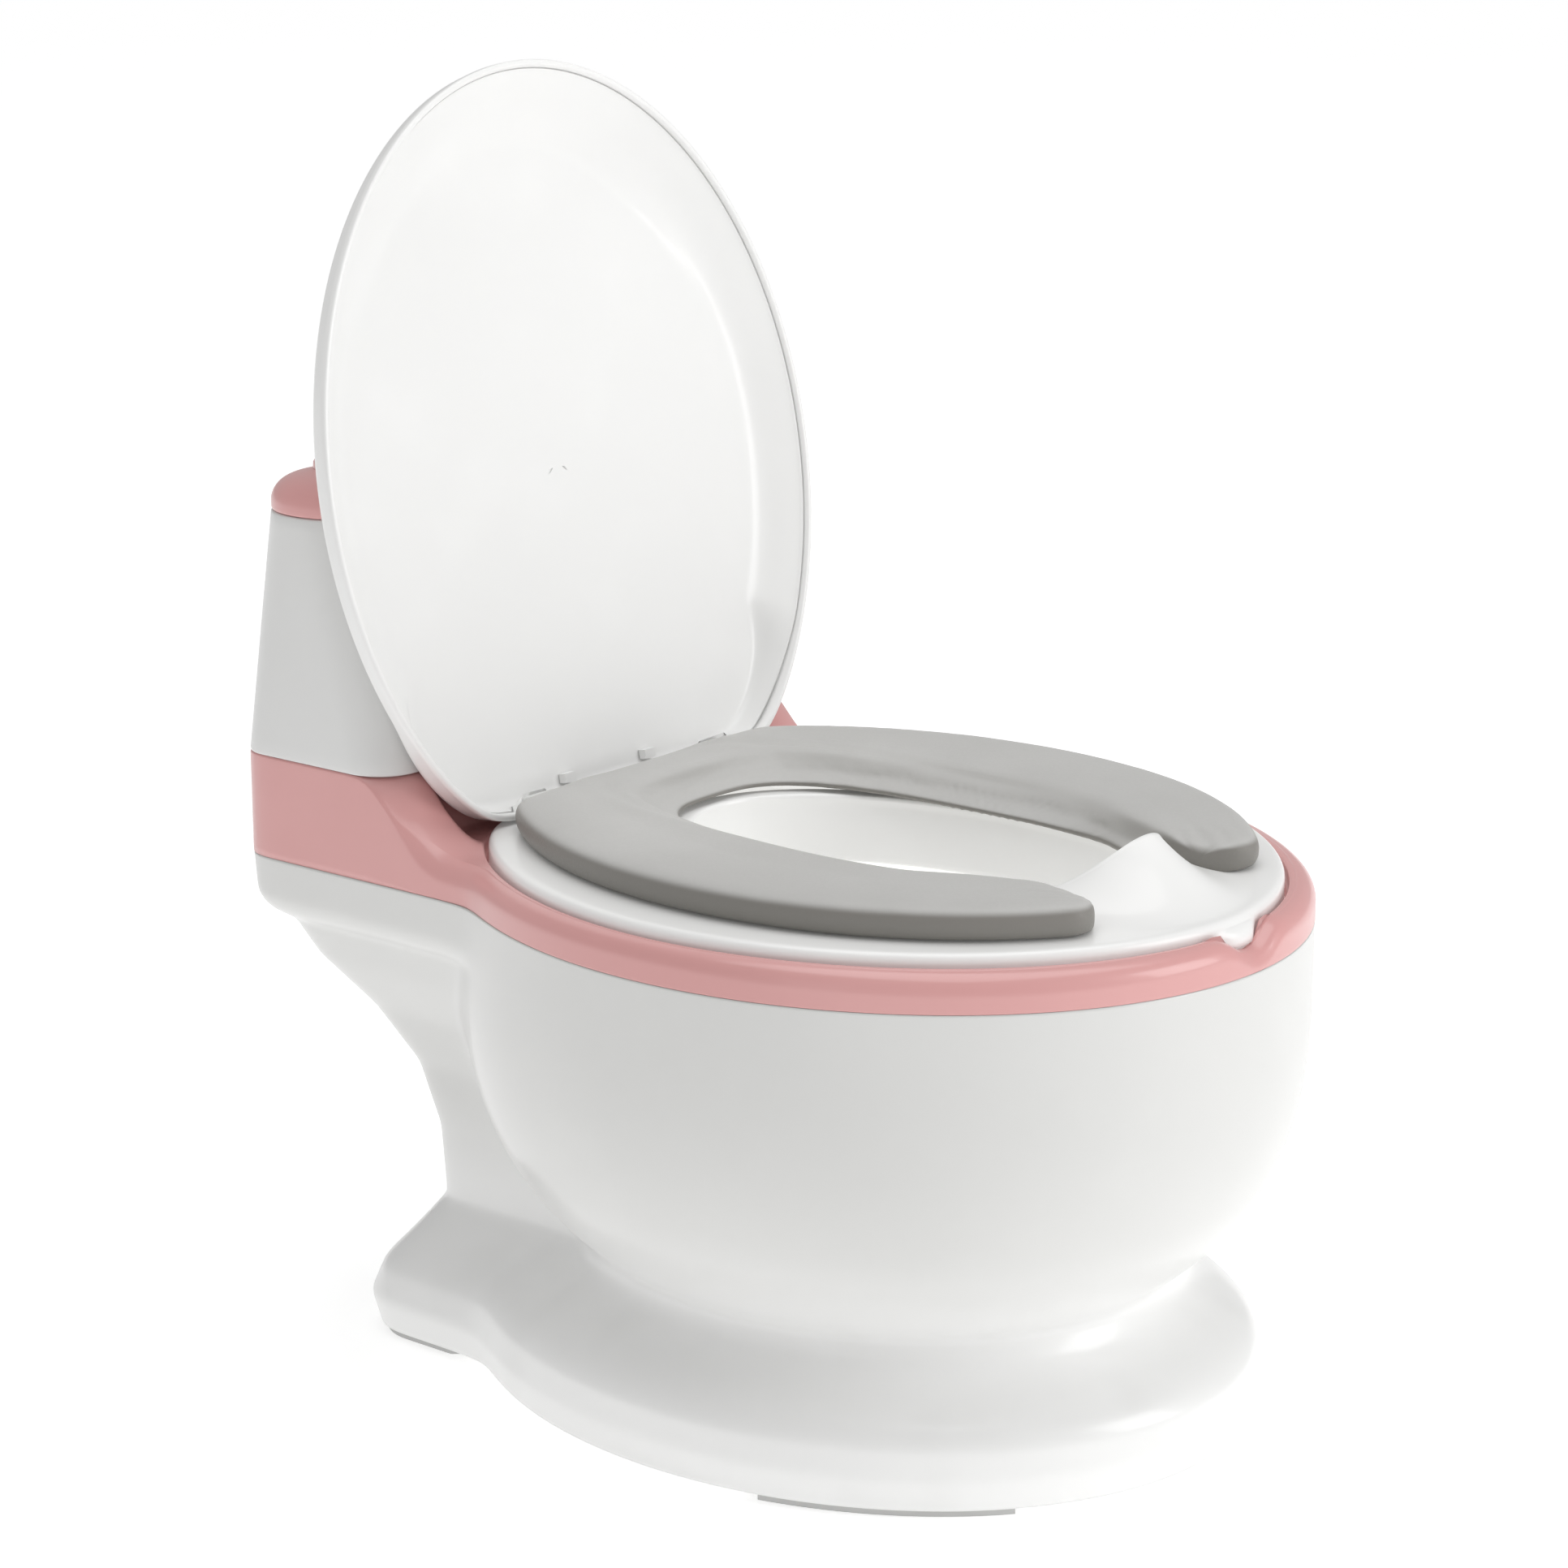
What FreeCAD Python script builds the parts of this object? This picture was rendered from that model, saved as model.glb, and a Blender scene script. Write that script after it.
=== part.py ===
import FreeCAD, Part
import math
import os

# Potty training chair. Millimetres, +Z up, front towards -Y, symmetric about X = 0.
# Origin: centre of the footprint on the floor. The lid stands open at rest.

V = FreeCAD.Vector
UP = V(0, 0, 1)
os.makedirs("parts", exist_ok=True)

# ---- driving dimensions ----
SEAT_CY = -27.7            # centre of the bowl, rim and ring ovals
RIM_A, RIM_B = 141.1, 161.8
PARTING_Z = 187.3          # white body below, coloured deck above
RIM_TOP = 200.7
RING_A, RING_B = 132.6, 153.3
RING_GAP = 0.8
RING_REAR = 104.0
RING_TOP = 204.7
HOLE_A, HOLE_B, HOLE_CY = 57.0, 95.5, -45.5
CUSHION_A, CUSHION_B, CUSHION_REAR = 116.0, 143.5, 88.0
CUSHION_Z, CUSHION_TOP = 205.0, 216.5
GUARD_TOP = 226.9
SHELF_Z = 190.3            # top of the shelf that carries the pot
FLANGE_T = 3.0
WALL = 3.0
THIN = 2.4

BACK_Y = 189.5
TANK_HW = 112.3
BAND_TOP = 226.5
TANK_FRONT, TANK_TOP_FRONT, TANK_TOP_BACK = 111.5, 129.0, 182.5
TANK_TOP_HW = 110.6
LID_LINE = 318.0
TANK_LID_H = 15.5

BUTTON_X, BUTTON_Y = -79.0, 156.0
BUTTON_R, COLLAR_R = 11.0, 14.7
BUTTON_TRAVEL = 2.5

HINGE_Y, HINGE_Z = 89.5, 206.5
LUG_IN, LUG_OUT = 44.0, 60.0
LUG_R, KNUCKLE_R, PIN_R = 8.0, 7.4, 3.0
KNUCKLE_IN = 30.0
LEAN = 10.9                # degrees the open lid leans back
LID_A, LID_B, LID_CT = 132.9, 151.9, 123.1
LID_EDGE = -0.5            # straight bottom edge of the lid, along its length
LID_DEPTH = 16.0
BULGE_DEPTH = 24.3
LID_PLANE = -0.3           # rim plane measured from the hinge axis

FLOOR_Z = 3.2              # thickness of the foot pads
FOOT_A, FOOT_B, FOOT_CY = 127.5, 153.2, -20.0


# ---- wires, lofts and plain solids ----
def oval(a, b, cy, z):
    centre = V(0, cy, z)
    if b > a:
        curve = Part.Ellipse(V(0, cy + b, z), V(a, cy, z), centre)
    else:
        curve = Part.Ellipse(V(a, cy, z), V(0, cy + b, z), centre)
    return Part.Wire([curve.toShape()])


def rounded(hw, y0, y1, r, z, cx=0.0, r_front=None):
    """Closed rectangle with rounded corners, r at the back and r_front in front."""
    f = r if r_front is None else r_front
    x0, x1 = cx - hw, cx + hw
    k = math.sqrt(0.5)
    corners = [
        (V(x1 - f, y0, z), V(x1 - f + f * k, y0 + f - f * k, z), V(x1, y0 + f, z)),
        (V(x1, y1 - r, z), V(x1 - r + r * k, y1 - r + r * k, z), V(x1 - r, y1, z)),
        (V(x0 + r, y1, z), V(x0 + r - r * k, y1 - r + r * k, z), V(x0, y1 - r, z)),
        (V(x0, y0 + f, z), V(x0 + f - f * k, y0 + f - f * k, z), V(x0 + f, y0, z)),
    ]
    edges = []
    for i, (start, mid, end) in enumerate(corners):
        edges.append(Part.Arc(start, mid, end).toShape())
        edges.append(Part.LineSegment(end, corners[(i + 1) % 4][0]).toShape())
    return Part.Wire(edges)


def loft(wires, ruled=False):
    return Part.makeLoft(wires, True, ruled)


def prism(wire, height):
    return Part.Face(wire).extrude(V(0, 0, height))


def oval_prism(a, b, cy, z0, z1):
    return prism(oval(a, b, cy, z0), z1 - z0)


def block(x0, x1, y0, y1, z0, z1):
    return Part.makeBox(x1 - x0, y1 - y0, z1 - z0, V(x0, y0, z0))


def rod(x, y, z0, z1, r):
    return Part.makeCylinder(r, z1 - z0, V(x, y, z0), UP)


def rod_x(x0, x1, y, z, r):
    return Part.makeCylinder(r, x1 - x0, V(x0, y, z), V(1, 0, 0))


def polygon(points, z):
    ring = [V(x, y, z) for x, y in points]
    return Part.makePolygon(ring + [ring[0]])


def fuse(shapes):
    return shapes[0].multiFuse(shapes[1:]).removeSplitter()


def sides(shape):
    """The shape together with its mirror image about X = 0."""
    return [shape, shape.mirror(V(0, 0, 0), V(1, 0, 0))]


def save(name, shape):
    solids = shape.Solids
    if len(solids) == 1:
        shape = solids[0]
    shape.exportStep("parts/" + name + ".step")


# ---- body: bowl, pedestal, rear column and ledge ----
def bowl_scale(z):
    if z >= 160.0:
        return 1.0
    return (1.0 - ((160.0 - z) / 130.0) ** 2.5) ** 0.4


FOOT_SECTIONS = [(3.2, 127.5, 153.2, -20.0), (15.0, 130.5, 156.2, -20.0), (27.0, 129.5, 154.5, -20.0),
                 (32.0, 126.0, 150.5, -20.0), (36.0, 120.5, 143.0, -21.0), (40.0, 114.0, 134.0, -22.5),
                 (44.0, 107.5, 126.0, -25.0), (48.0, 103.0, 120.0, -27.0), (58.0, 99.5, 114.5, -27.7)]
HEEL_SECTIONS = [(3.2, 94.0, 152.6, 24.0), (15.0, 97.0, 155.5, 26.0), (27.0, 93.0, 151.0, 24.0),
                 (38.0, 80.0, 143.5, 19.0), (50.0, 68.0, 136.0, 15.0)]
COLUMN_SECTIONS = [(50.0, 68.0, 136.0, 15.0), (78.0, 68.0, 138.5, 15.0), (103.0, 71.0, 147.5, 17.0),
                   (125.0, 79.0, 164.0, 19.0), (145.0, 92.0, 180.0, 20.0), (168.0, 105.0, 186.0, 18.0)]
LEDGE_SECTIONS = [(161.5, 98.0, 176.0, 10.0), (163.0, 103.5, 181.0, 12.0), (166.5, 108.5, 186.0, 13.5),
                  (171.5, 111.4, 188.7, 14.0), (PARTING_Z, TANK_HW, BACK_Y, 14.3)]
INNER_FRONT = 40.0


def body(inset):
    """Outer skin of the white body for inset 0, inner skin for a positive inset."""
    bowl_heights = [52.0, 60.0, 70.0, 85.0, 105.0, 130.0, 160.0, PARTING_Z]
    bowl = loft([oval(RIM_A * bowl_scale(z) - inset, RIM_B * bowl_scale(z) - inset, SEAT_CY, z)
                 for z in bowl_heights])
    foot = loft([oval(a - inset, b - inset, cy, z) for z, a, b, cy in FOOT_SECTIONS])

    def tower(sections):
        return loft([rounded(hw - inset, INNER_FRONT + inset, y1 - inset, r - inset, z)
                     for z, hw, y1, r in sections])

    heel = tower(HEEL_SECTIONS)
    column = tower(COLUMN_SECTIONS)
    ledge_sections = LEDGE_SECTIONS
    if inset:
        ledge_sections = [(z + (inset if z < 172.0 else 0.0), hw, y1, r) for z, hw, y1, r in LEDGE_SECTIONS]
    ledge = loft([rounded(hw - inset, INNER_FRONT + inset, y1 - inset, r - inset, z)
                  for z, hw, y1, r in ledge_sections], True)
    return fuse([bowl, foot, heel, column, ledge])


SCREW_SPOTS = [(-86.0, 118.0), (-86.0, 172.0), (86.0, 118.0), (86.0, 172.0)]
CASING_SPOTS = [(-97.0, 133.0), (-97.0, 164.0), (97.0, 133.0), (97.0, 164.0)]

foot_outline = oval_prism(FOOT_A - 0.4, FOOT_B - 0.4, FOOT_CY, FLOOR_Z, FLOOR_Z + WALL)
heel_outline = prism(rounded(93.6, INNER_FRONT, 152.2, 23.6, FLOOR_Z), WALL)
flange_hole = fuse([oval_prism(FOOT_A - 17, FOOT_B - 17, FOOT_CY, 0, 12),
                    prism(rounded(77.0, INNER_FRONT, 135.6, 12.0, 0), 12)])
bottom_flange = fuse([foot_outline, heel_outline]).cut(flange_hole)
mouth = oval_prism(RIM_A - WALL, RIM_B - WALL, SEAT_CY, PARTING_Z - 1.5, PARTING_Z + 1)

base_shell = body(0.0).cut(body(WALL))
base_shell = base_shell.cut(mouth).fuse(bottom_flange)
ledge_core = prism(rounded(TANK_HW - 1.5, INNER_FRONT, BACK_Y - 1.5, 12.8, 180.0), 20.0)
for x, y in SCREW_SPOTS:
    x0, x1 = sorted((x - math.copysign(7.0, x), math.copysign(TANK_HW, x)))
    tab = block(x0, x1, y - 7.0, y + 7.0, 182.0, PARTING_Z).common(ledge_core)
    base_shell = base_shell.fuse(tab).cut(rod(x, y, 180.0, 200.0, 1.9))
base_shell = base_shell.removeSplitter()
save("base_shell", base_shell)

# ---- foot pads: curved strips under the bottom flange ----
def pad_strip(angle_from, angle_to, outer, inner):
    """Part of the flange outline between two angles seen from the middle."""
    reach = 260.0
    steps = [angle_from + (angle_to - angle_from) * i / 4.0 for i in range(5)]
    fan = [(0.0, 0.0)]
    fan += [(reach * math.cos(math.radians(a)), reach * math.sin(math.radians(a))) for a in steps]
    return outer.cut(inner).common(prism(polygon(fan, 0.0), FLOOR_Z))


front_band = (oval_prism(FOOT_A - 2.5, FOOT_B - 2.5, FOOT_CY, 0, FLOOR_Z),
              oval_prism(FOOT_A - 14.5, FOOT_B - 14.5, FOOT_CY, -1, FLOOR_Z + 1))
rear_band = (prism(rounded(91.5, 20.0, 150.0, 21.5, 0), FLOOR_Z),
             prism(rounded(79.5, 10.0, 138.0, 12.0, -1), FLOOR_Z + 2))
front_pad = pad_strip(209.0, 243.0, *front_band)
rear_pad = pad_strip(111.0, 131.0, *rear_band)
for pad, place in ((front_pad, "front"), (rear_pad, "rear")):
    for half, side in zip(sides(pad), ("left", "right")):
        save("foot_pad_%s_%s" % (place, side), half)

# ---- deck: rim around the ring, shelf for the pot, band under the tank ----
rim = oval_prism(RIM_A, RIM_B, SEAT_CY, PARTING_Z, RIM_TOP)
rim = rim.makeFillet(6.0, [e for e in rim.Edges if e.BoundBox.ZMin > RIM_TOP - 0.1 and e.Length > 100])
rear_slab = prism(rounded(TANK_HW, INNER_FRONT, BACK_Y, 14.3, PARTING_Z), RIM_TOP - PARTING_Z)
BAND_SECTIONS = [(RIM_TOP - 1.0, 112.4, 80.0, 189.4), (RIM_TOP + 3.5, 112.6, 90.0, 189.2),
                 (208.5, 112.8, 99.0, 189.0), (216.0, 112.9, 107.0, 188.8),
                 (BAND_TOP, 112.9, TANK_FRONT, 188.5)]
band = loft([rounded(hw, y0, y1, 14.5, z, r_front=17.0) for z, hw, y0, y1 in BAND_SECTIONS])
deck = fuse([rim, rear_slab, band])

ring_seat = oval_prism(RING_A + RING_GAP, RING_B + RING_GAP, SEAT_CY, SHELF_Z, 260)
ring_seat = ring_seat.common(block(-150, 150, -200, RING_REAR + RING_GAP, 0, 300))
pot_mouth = oval_prism(112.0, 131.0, SEAT_CY - 5.0, 180, 260).common(block(-150, 150, -200, 92.0, 0, 300))
hinge_well = block(-82, 82, 80, TANK_FRONT, RIM_TOP, 260)
under_tank = loft([rounded(TANK_HW - WALL, 110.0, BACK_Y - WALL, 11.3, PARTING_Z - 1, r_front=8.0),
                   rounded(TANK_HW - WALL, 115.0, BACK_Y - 4.0, 11.3, BAND_TOP - WALL, r_front=14.0)], True)
notch = Part.makeCylinder(12.0, 40.0, V(0, -205, RIM_TOP + 5.0), V(0, 1, 0))
deck = deck.cut(ring_seat).cut(pot_mouth).cut(hinge_well).cut(under_tank).cut(notch)
for x, y in SCREW_SPOTS:
    deck = deck.fuse(rod(x, y, PARTING_Z, BAND_TOP - 1.0, 5.0)).cut(rod(x, y, 180.0, 199.0, 1.5))
for x, y in CASING_SPOTS:
    deck = deck.cut(rod(x, y, 215.0, 230.0, 1.9))
deck = deck.removeSplitter()
save("rim_deck", deck)

screws = [rod(x, y, 179.5, 182.0, 3.5).fuse(rod(x, y, 182.0, 197.5, 1.45)) for x, y in SCREW_SPOTS]
save("deck_screws", Part.makeCompound(screws))

# ---- tank casing ----
def casing_skin(inset, z0, z1):
    def at(z):
        k = (z - BAND_TOP) / (LID_LINE - BAND_TOP)
        return rounded(112.9 + k * (TANK_TOP_HW - 112.9) - inset,
                       TANK_FRONT + k * (TANK_TOP_FRONT - TANK_FRONT) + inset,
                       188.5 + k * (TANK_TOP_BACK - 188.5) - inset,
                       14.5 + k * 11.5 - inset, z, r_front=17.0 + k * 9.0 - inset)
    return loft([at(z0), at(z1)], True)


casing = casing_skin(0.0, BAND_TOP, LID_LINE).cut(casing_skin(THIN, BAND_TOP, LID_LINE))
for x, y in CASING_SPOTS:
    boss = rod(x, y, BAND_TOP, 242.0, 5.0).cut(rod(x, y, BAND_TOP - 1, 240.0, 1.5))
    rib = block(min(x, x * 1.19), max(x, x * 1.19), y - 1.0, y + 1.0, BAND_TOP, 238.0)
    rib = rib.common(casing_skin(1.0, BAND_TOP, LID_LINE)).cut(rod(x, y, 200, 250, 4.0))
    casing = casing.fuse(boss).fuse(rib)
save("tank_casing", casing.removeSplitter())

screws = [rod(x, y, 221.0, 223.5, 3.5).fuse(rod(x, y, 223.5, 238.5, 1.45)) for x, y in CASING_SPOTS]
save("casing_screws", Part.makeCompound(screws))

# ---- tank lid with the button collar ----
TOP_Z = LID_LINE + TANK_LID_H
cap_y = (TANK_TOP_FRONT, TANK_TOP_BACK)


def cap(inset, z0, z1, edge):
    outline = rounded(TANK_TOP_HW - inset, cap_y[0] + inset, cap_y[1] - inset, 26.0 - inset, z0)
    solid = prism(outline, z1 - z0)
    return solid.makeFillet(edge, [e for e in solid.Edges if e.BoundBox.ZMin > z1 - 0.1])


tank_lid = cap(0.0, LID_LINE, TOP_Z, 11.0).cut(cap(THIN, LID_LINE - 1, TOP_Z - THIN, 9.0))
lip = prism(rounded(TANK_TOP_HW - 3.2, cap_y[0] + 3.2, cap_y[1] - 6.5, 21.5, LID_LINE - 4.0), 9.0)
lip = lip.cut(prism(rounded(TANK_TOP_HW - 5.2, cap_y[0] + 5.2, cap_y[1] - 8.5, 19.5, LID_LINE - 5.0), 12.0))
lip_web = prism(rounded(TANK_TOP_HW - 1.0, cap_y[0] + 1.0, cap_y[1] - 1.0, 25.0, LID_LINE), 1.6)
lip_web = lip_web.cut(prism(rounded(TANK_TOP_HW - 4.2, cap_y[0] + 4.2, cap_y[1] - 7.5, 20.5, 300.0), 40.0))
COLLAR_TOP = TOP_Z + 2.0
collar = rod(BUTTON_X, BUTTON_Y, TOP_Z - THIN, COLLAR_TOP, COLLAR_R)
guide = rod(BUTTON_X, BUTTON_Y, TOP_Z - 9.0, COLLAR_TOP, BUTTON_R + 2.5)
tank_lid = tank_lid.fuse(lip).fuse(lip_web).fuse(collar).fuse(guide)
MODULE_X0, MODULE_X1 = -97.0, -34.0
MODULE_Y0, MODULE_Y1 = 140.0, 168.0
MODULE_TOP, MODULE_BOTTOM = 320.5, 300.0
MODULE_SCREWS = [(-92.0, 156.0), (-40.0, 156.0)]
for x, y in MODULE_SCREWS:
    tank_lid = tank_lid.fuse(rod(x, y, MODULE_TOP, TOP_Z - 1.0, 4.0)).cut(rod(x, y, 310.0, 330.0, 1.3))
tank_lid = tank_lid.cut(rod(BUTTON_X, BUTTON_Y, 300.0, 350.0, BUTTON_R + 0.1))
tank_lid = tank_lid.removeSplitter()
save("tank_lid", tank_lid)

# ---- flush button, its moulded return spring and the sound module under the tank lid ----
BUTTON_TOP = COLLAR_TOP + 1.6
button = rod(BUTTON_X, BUTTON_Y, TOP_Z - 8.0, BUTTON_TOP, BUTTON_R)
button = button.makeFillet(1.4, [e for e in button.Edges if e.BoundBox.ZMin > BUTTON_TOP - 0.1])
button = button.cut(rod(BUTTON_X, BUTTON_Y, TOP_Z - 9.0, BUTTON_TOP - THIN, BUTTON_R - 2.0))
stem_top = BUTTON_TOP - THIN
button = button.fuse(rod(BUTTON_X, BUTTON_Y, 322.6, stem_top, 2.6))
save("flush_button", button.removeSplitter())

dome_profile = [(8.4, 320.6), (8.4, 321.6), (7.8, 321.6), (5.4, 331.6), (5.4, 334.4), (3.3, 334.4),
                (3.3, 333.6), (4.6, 333.6), (4.6, 331.4), (6.9, 321.6), (6.9, 320.6)]
dome_points = [V(BUTTON_X + r, BUTTON_Y, z) for r, z in dome_profile]
dome = Part.Face(Part.makePolygon(dome_points + dome_points[:1]))
save("button_spring", dome.revolve(V(BUTTON_X, BUTTON_Y, 0), UP, 360))

case = block(MODULE_X0, MODULE_X1, MODULE_Y0, MODULE_Y1, MODULE_BOTTOM, MODULE_TOP)
case = case.makeFillet(3.0, [e for e in case.Edges if abs(e.BoundBox.ZLength - 20.5) < 0.1])
case = case.cut(block(-87.4, -46.0, 142.0, 166.0, 302.0, 318.9))
case = case.cut(block(-85.6, -50.0, 144.0, 164.0, 299.0, 303.0))
case = case.cut(rod(BUTTON_X, BUTTON_Y, 318.0, 330.0, 3.1))
for x, y in MODULE_SCREWS:
    case = case.cut(rod(x, y, 299.0, 330.0, 1.7)).cut(rod(x, y, 299.0, 314.0, 3.2))
save("sound_module_case", case)
save("circuit_board", block(-87.1, -46.3, 142.3, 165.7, 314.6, 316.0))
switch = block(-82.0, -76.0, 153.0, 159.0, 316.0, 317.5)
save("button_switch", switch.fuse(rod(BUTTON_X, BUTTON_Y, 317.5, 319.0, 1.6)))
save("speaker", rod(-58.0, 154.0, 310.6, 314.4, 9.0))
cells = [rod_x(-84.0, -58.0, y, 306.2, 4.0) for y in (149.0, 159.0)]
save("battery_cells", Part.makeCompound(cells))
contacts = [block(x, x + 0.5, 144.5, 163.5, 303.2, 310.0) for x in (-84.8, -57.7)]
save("battery_contacts", Part.makeCompound(contacts))
door = block(-85.4, -50.2, 144.2, 163.8, 300.0, 301.6)
door = door.cut(rod(-52.8, 154.0, 299.0, 303.0, 1.1))
save("battery_door", door)
screw = rod(-52.8, 154.0, 299.2, 300.0, 1.9).fuse(rod(-52.8, 154.0, 300.0, 304.0, 1.0))
save("battery_door_screw", screw)
screws = [rod(x, y, 311.5, 314.0, 3.0).fuse(rod(x, y, 314.0, 325.0, 1.25)) for x, y in MODULE_SCREWS]
save("module_screws", Part.makeCompound(screws))

# ---- inner pot ----
flange = oval_prism(RING_A - 1.5, RING_B - 1.5, SEAT_CY, SHELF_Z, SHELF_Z + FLANGE_T)
flange = flange.common(block(-150, 150, -200, 100.0, 0, 300))
POT_SECTIONS = [(72.0, 62.0, 84.0, -34.0), (78.0, 74.0, 96.0, -34.0), (100.0, 88.0, 109.0, -34.0),
                (140.0, 98.0, 117.0, -33.0), (SHELF_Z + FLANGE_T, 104.0, 121.0, -32.7)]


def pot_skin(inset, lift):
    return loft([oval(a - inset, b - inset, cy, z + (lift if z < 79.0 else 0.0))
                 for z, a, b, cy in POT_SECTIONS])


pot = flange.fuse(pot_skin(0.0, 0.0)).cut(pot_skin(THIN, THIN))
save("inner_pot", pot.removeSplitter())

# ---- seat ring with splash guard, skirts and hinge lugs ----
SKIRT_Z = SHELF_Z + FLANGE_T + 1.7
trim = block(-150, 150, -200, RING_REAR, 0, 300)
plate = oval_prism(RING_A, RING_B, SEAT_CY, SKIRT_Z, RING_TOP).common(trim)
plate = plate.makeFillet(2.6, [e for e in plate.Edges if e.BoundBox.ZMin > RING_TOP - 0.1])
hollow = oval_prism(RING_A - WALL, RING_B - WALL, SEAT_CY, SKIRT_Z - 1, RING_TOP - 4.4)
hollow = hollow.common(block(-150, 150, -200, RING_REAR - WALL, 0, 300))
skirt = oval_prism(HOLE_A + WALL, HOLE_B + WALL, HOLE_CY, 179.0, RING_TOP)


def guard_profile(x, foot_y, crest_y, crest_z, back_y):
    corners = [(foot_y, 201.0), (foot_y + 1.0, RING_TOP), (crest_y - 2.0, crest_z),
               (crest_y + 2.0, crest_z), (back_y, RING_TOP), (back_y, 201.0), (foot_y, 201.0)]
    return Part.makePolygon([V(x, y, z) for y, z in corners])


GUARD_STEPS = [(30.0, -171.5, -128.0, 212.0, -112.0), (24.0, -174.0, -132.5, 217.5, -118.0),
               (12.0, -177.0, -141.5, 224.6, -128.0), (0.0, -178.0, -144.0, GUARD_TOP, -130.0)]
mirrored = [(-x, f, c, z, b) for x, f, c, z, b in GUARD_STEPS[:-1]]
guard = loft([guard_profile(*step) for step in mirrored + GUARD_STEPS[::-1]], True)
ring = plate.cut(hollow).fuse(skirt).fuse(guard)
ring = ring.cut(loft([oval(HOLE_A - 1.5, HOLE_B - 1.5, HOLE_CY, 170.0),
                      oval(HOLE_A, HOLE_B, HOLE_CY, RING_TOP),
                      oval(HOLE_A + 2.0, HOLE_B + 4.0, HOLE_CY, 230.0)], True))
# step down at the back for the lid's bottom edge
ring = ring.cut(block(-82.0, 82.0, 88.6, 120.0, RING_TOP - 2.9, 230.0))
for lug in sides(rod_x(LUG_IN, LUG_OUT, HINGE_Y, HINGE_Z, LUG_R)):
    ring = ring.fuse(lug)
for x in (-LUG_OUT, LUG_IN):
    ring = ring.fuse(block(x, x + LUG_OUT - LUG_IN, 81.6, 97.4, SKIRT_Z + 2, 205.0))
well = block(-LUG_IN, LUG_IN, HINGE_Y - 9.0, 120.0, 190.0, 230.0)
ring = ring.cut(well)
ring = ring.fuse(block(-LUG_IN, LUG_IN, HINGE_Y - 12.0, HINGE_Y - 9.0, SKIRT_Z, RING_TOP - 3.0))
for x0, x1 in ((-LUG_OUT + 1.5, -LUG_IN), (LUG_IN, LUG_OUT - 1.5)):
    ring = ring.cut(rod_x(x0, x1, HINGE_Y, HINGE_Z, PIN_R))

# backing plate under the cushion, and its recess and peg holes in the ring
PLATE_T = 1.8
wedge = prism(polygon([(-31, -90), (-31, -143), (-60, -158), (-60, -200),
                       (60, -200), (60, -158), (31, -143), (31, -90)], 195.0), 40.0)
PEGS = [(-88.0, -20.0), (88.0, -20.0), (-72.0, -104.0), (72.0, -104.0), (-60.0, 62.0), (60.0, 62.0)]


def backing_blank(inset, z0, z1):
    blank = oval_prism(CUSHION_A - 7.0 - inset, CUSHION_B - 7.0 - inset, SEAT_CY, z0, z1)
    blank = blank.common(block(-150, 150, -200, 78.0 - inset, 0, 300))
    blank = blank.cut(oval_prism(HOLE_A + 8.0 + inset, HOLE_B + 8.0 + inset, HOLE_CY, z0 - 1, z1 + 1))
    return blank.cut(wedge)


backing = backing_blank(0.2, RING_TOP - PLATE_T, RING_TOP)
ring = ring.cut(backing_blank(0.0, RING_TOP - PLATE_T, RING_TOP + 0.001))
for x, y in PEGS:
    backing = backing.fuse(rod(x, y, RING_TOP - 8.0, RING_TOP - PLATE_T, 2.8))
    ring = ring.cut(rod(x, y, RING_TOP - 8.0, RING_TOP, 3.0))
ring = ring.removeSplitter()
save("seat_ring", ring)
save("cushion_backing", backing.removeSplitter())

cushion = loft([oval(CUSHION_A - 1.0, CUSHION_B - 1.0, SEAT_CY, CUSHION_Z),
                oval(CUSHION_A, CUSHION_B, SEAT_CY, 208.0),
                oval(CUSHION_A - 0.8, CUSHION_B - 0.8, SEAT_CY, 212.5),
                oval(CUSHION_A - 6.0, CUSHION_B - 6.0, SEAT_CY, CUSHION_TOP)], True)
cushion = cushion.common(block(-150, 150, -200, CUSHION_REAR, 0, 300))
cushion = cushion.cut(loft([oval(HOLE_A - 1.0, HOLE_B - 1.0, HOLE_CY, 204.0),
                            oval(HOLE_A + 5.0, HOLE_B + 5.0, HOLE_CY, 218.0)]))
cushion = cushion.cut(wedge)
cushion = cushion.cut(rod_x(-LUG_OUT - 0.5, LUG_OUT + 0.5, HINGE_Y, HINGE_Z, LUG_R + 0.8))
save("seat_cushion", cushion)

BUMPERS = [(-120.0, 30.0), (120.0, 30.0), (-95.0, -130.0), (95.0, -130.0)]
bumpers = []
for x, y in BUMPERS:
    k = math.hypot(x / (RING_A - 1.5), (y - SEAT_CY) / (RING_B - 1.5))
    bumpers.append(rod(x / k, SEAT_CY + (y - SEAT_CY) / k, SHELF_Z + FLANGE_T, SKIRT_Z, 1.3))
save("seat_bumpers", Part.makeCompound(bumpers))

# ---- hinge pins ----
for sign, side in ((-1, "left"), (1, "right")):
    x0, x1 = sorted((sign * (KNUCKLE_IN + 2.0), sign * (LUG_OUT - 1.5)))
    save("hinge_pin_" + side, rod_x(x0, x1, HINGE_Y, HINGE_Z, PIN_R - 0.01))


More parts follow.
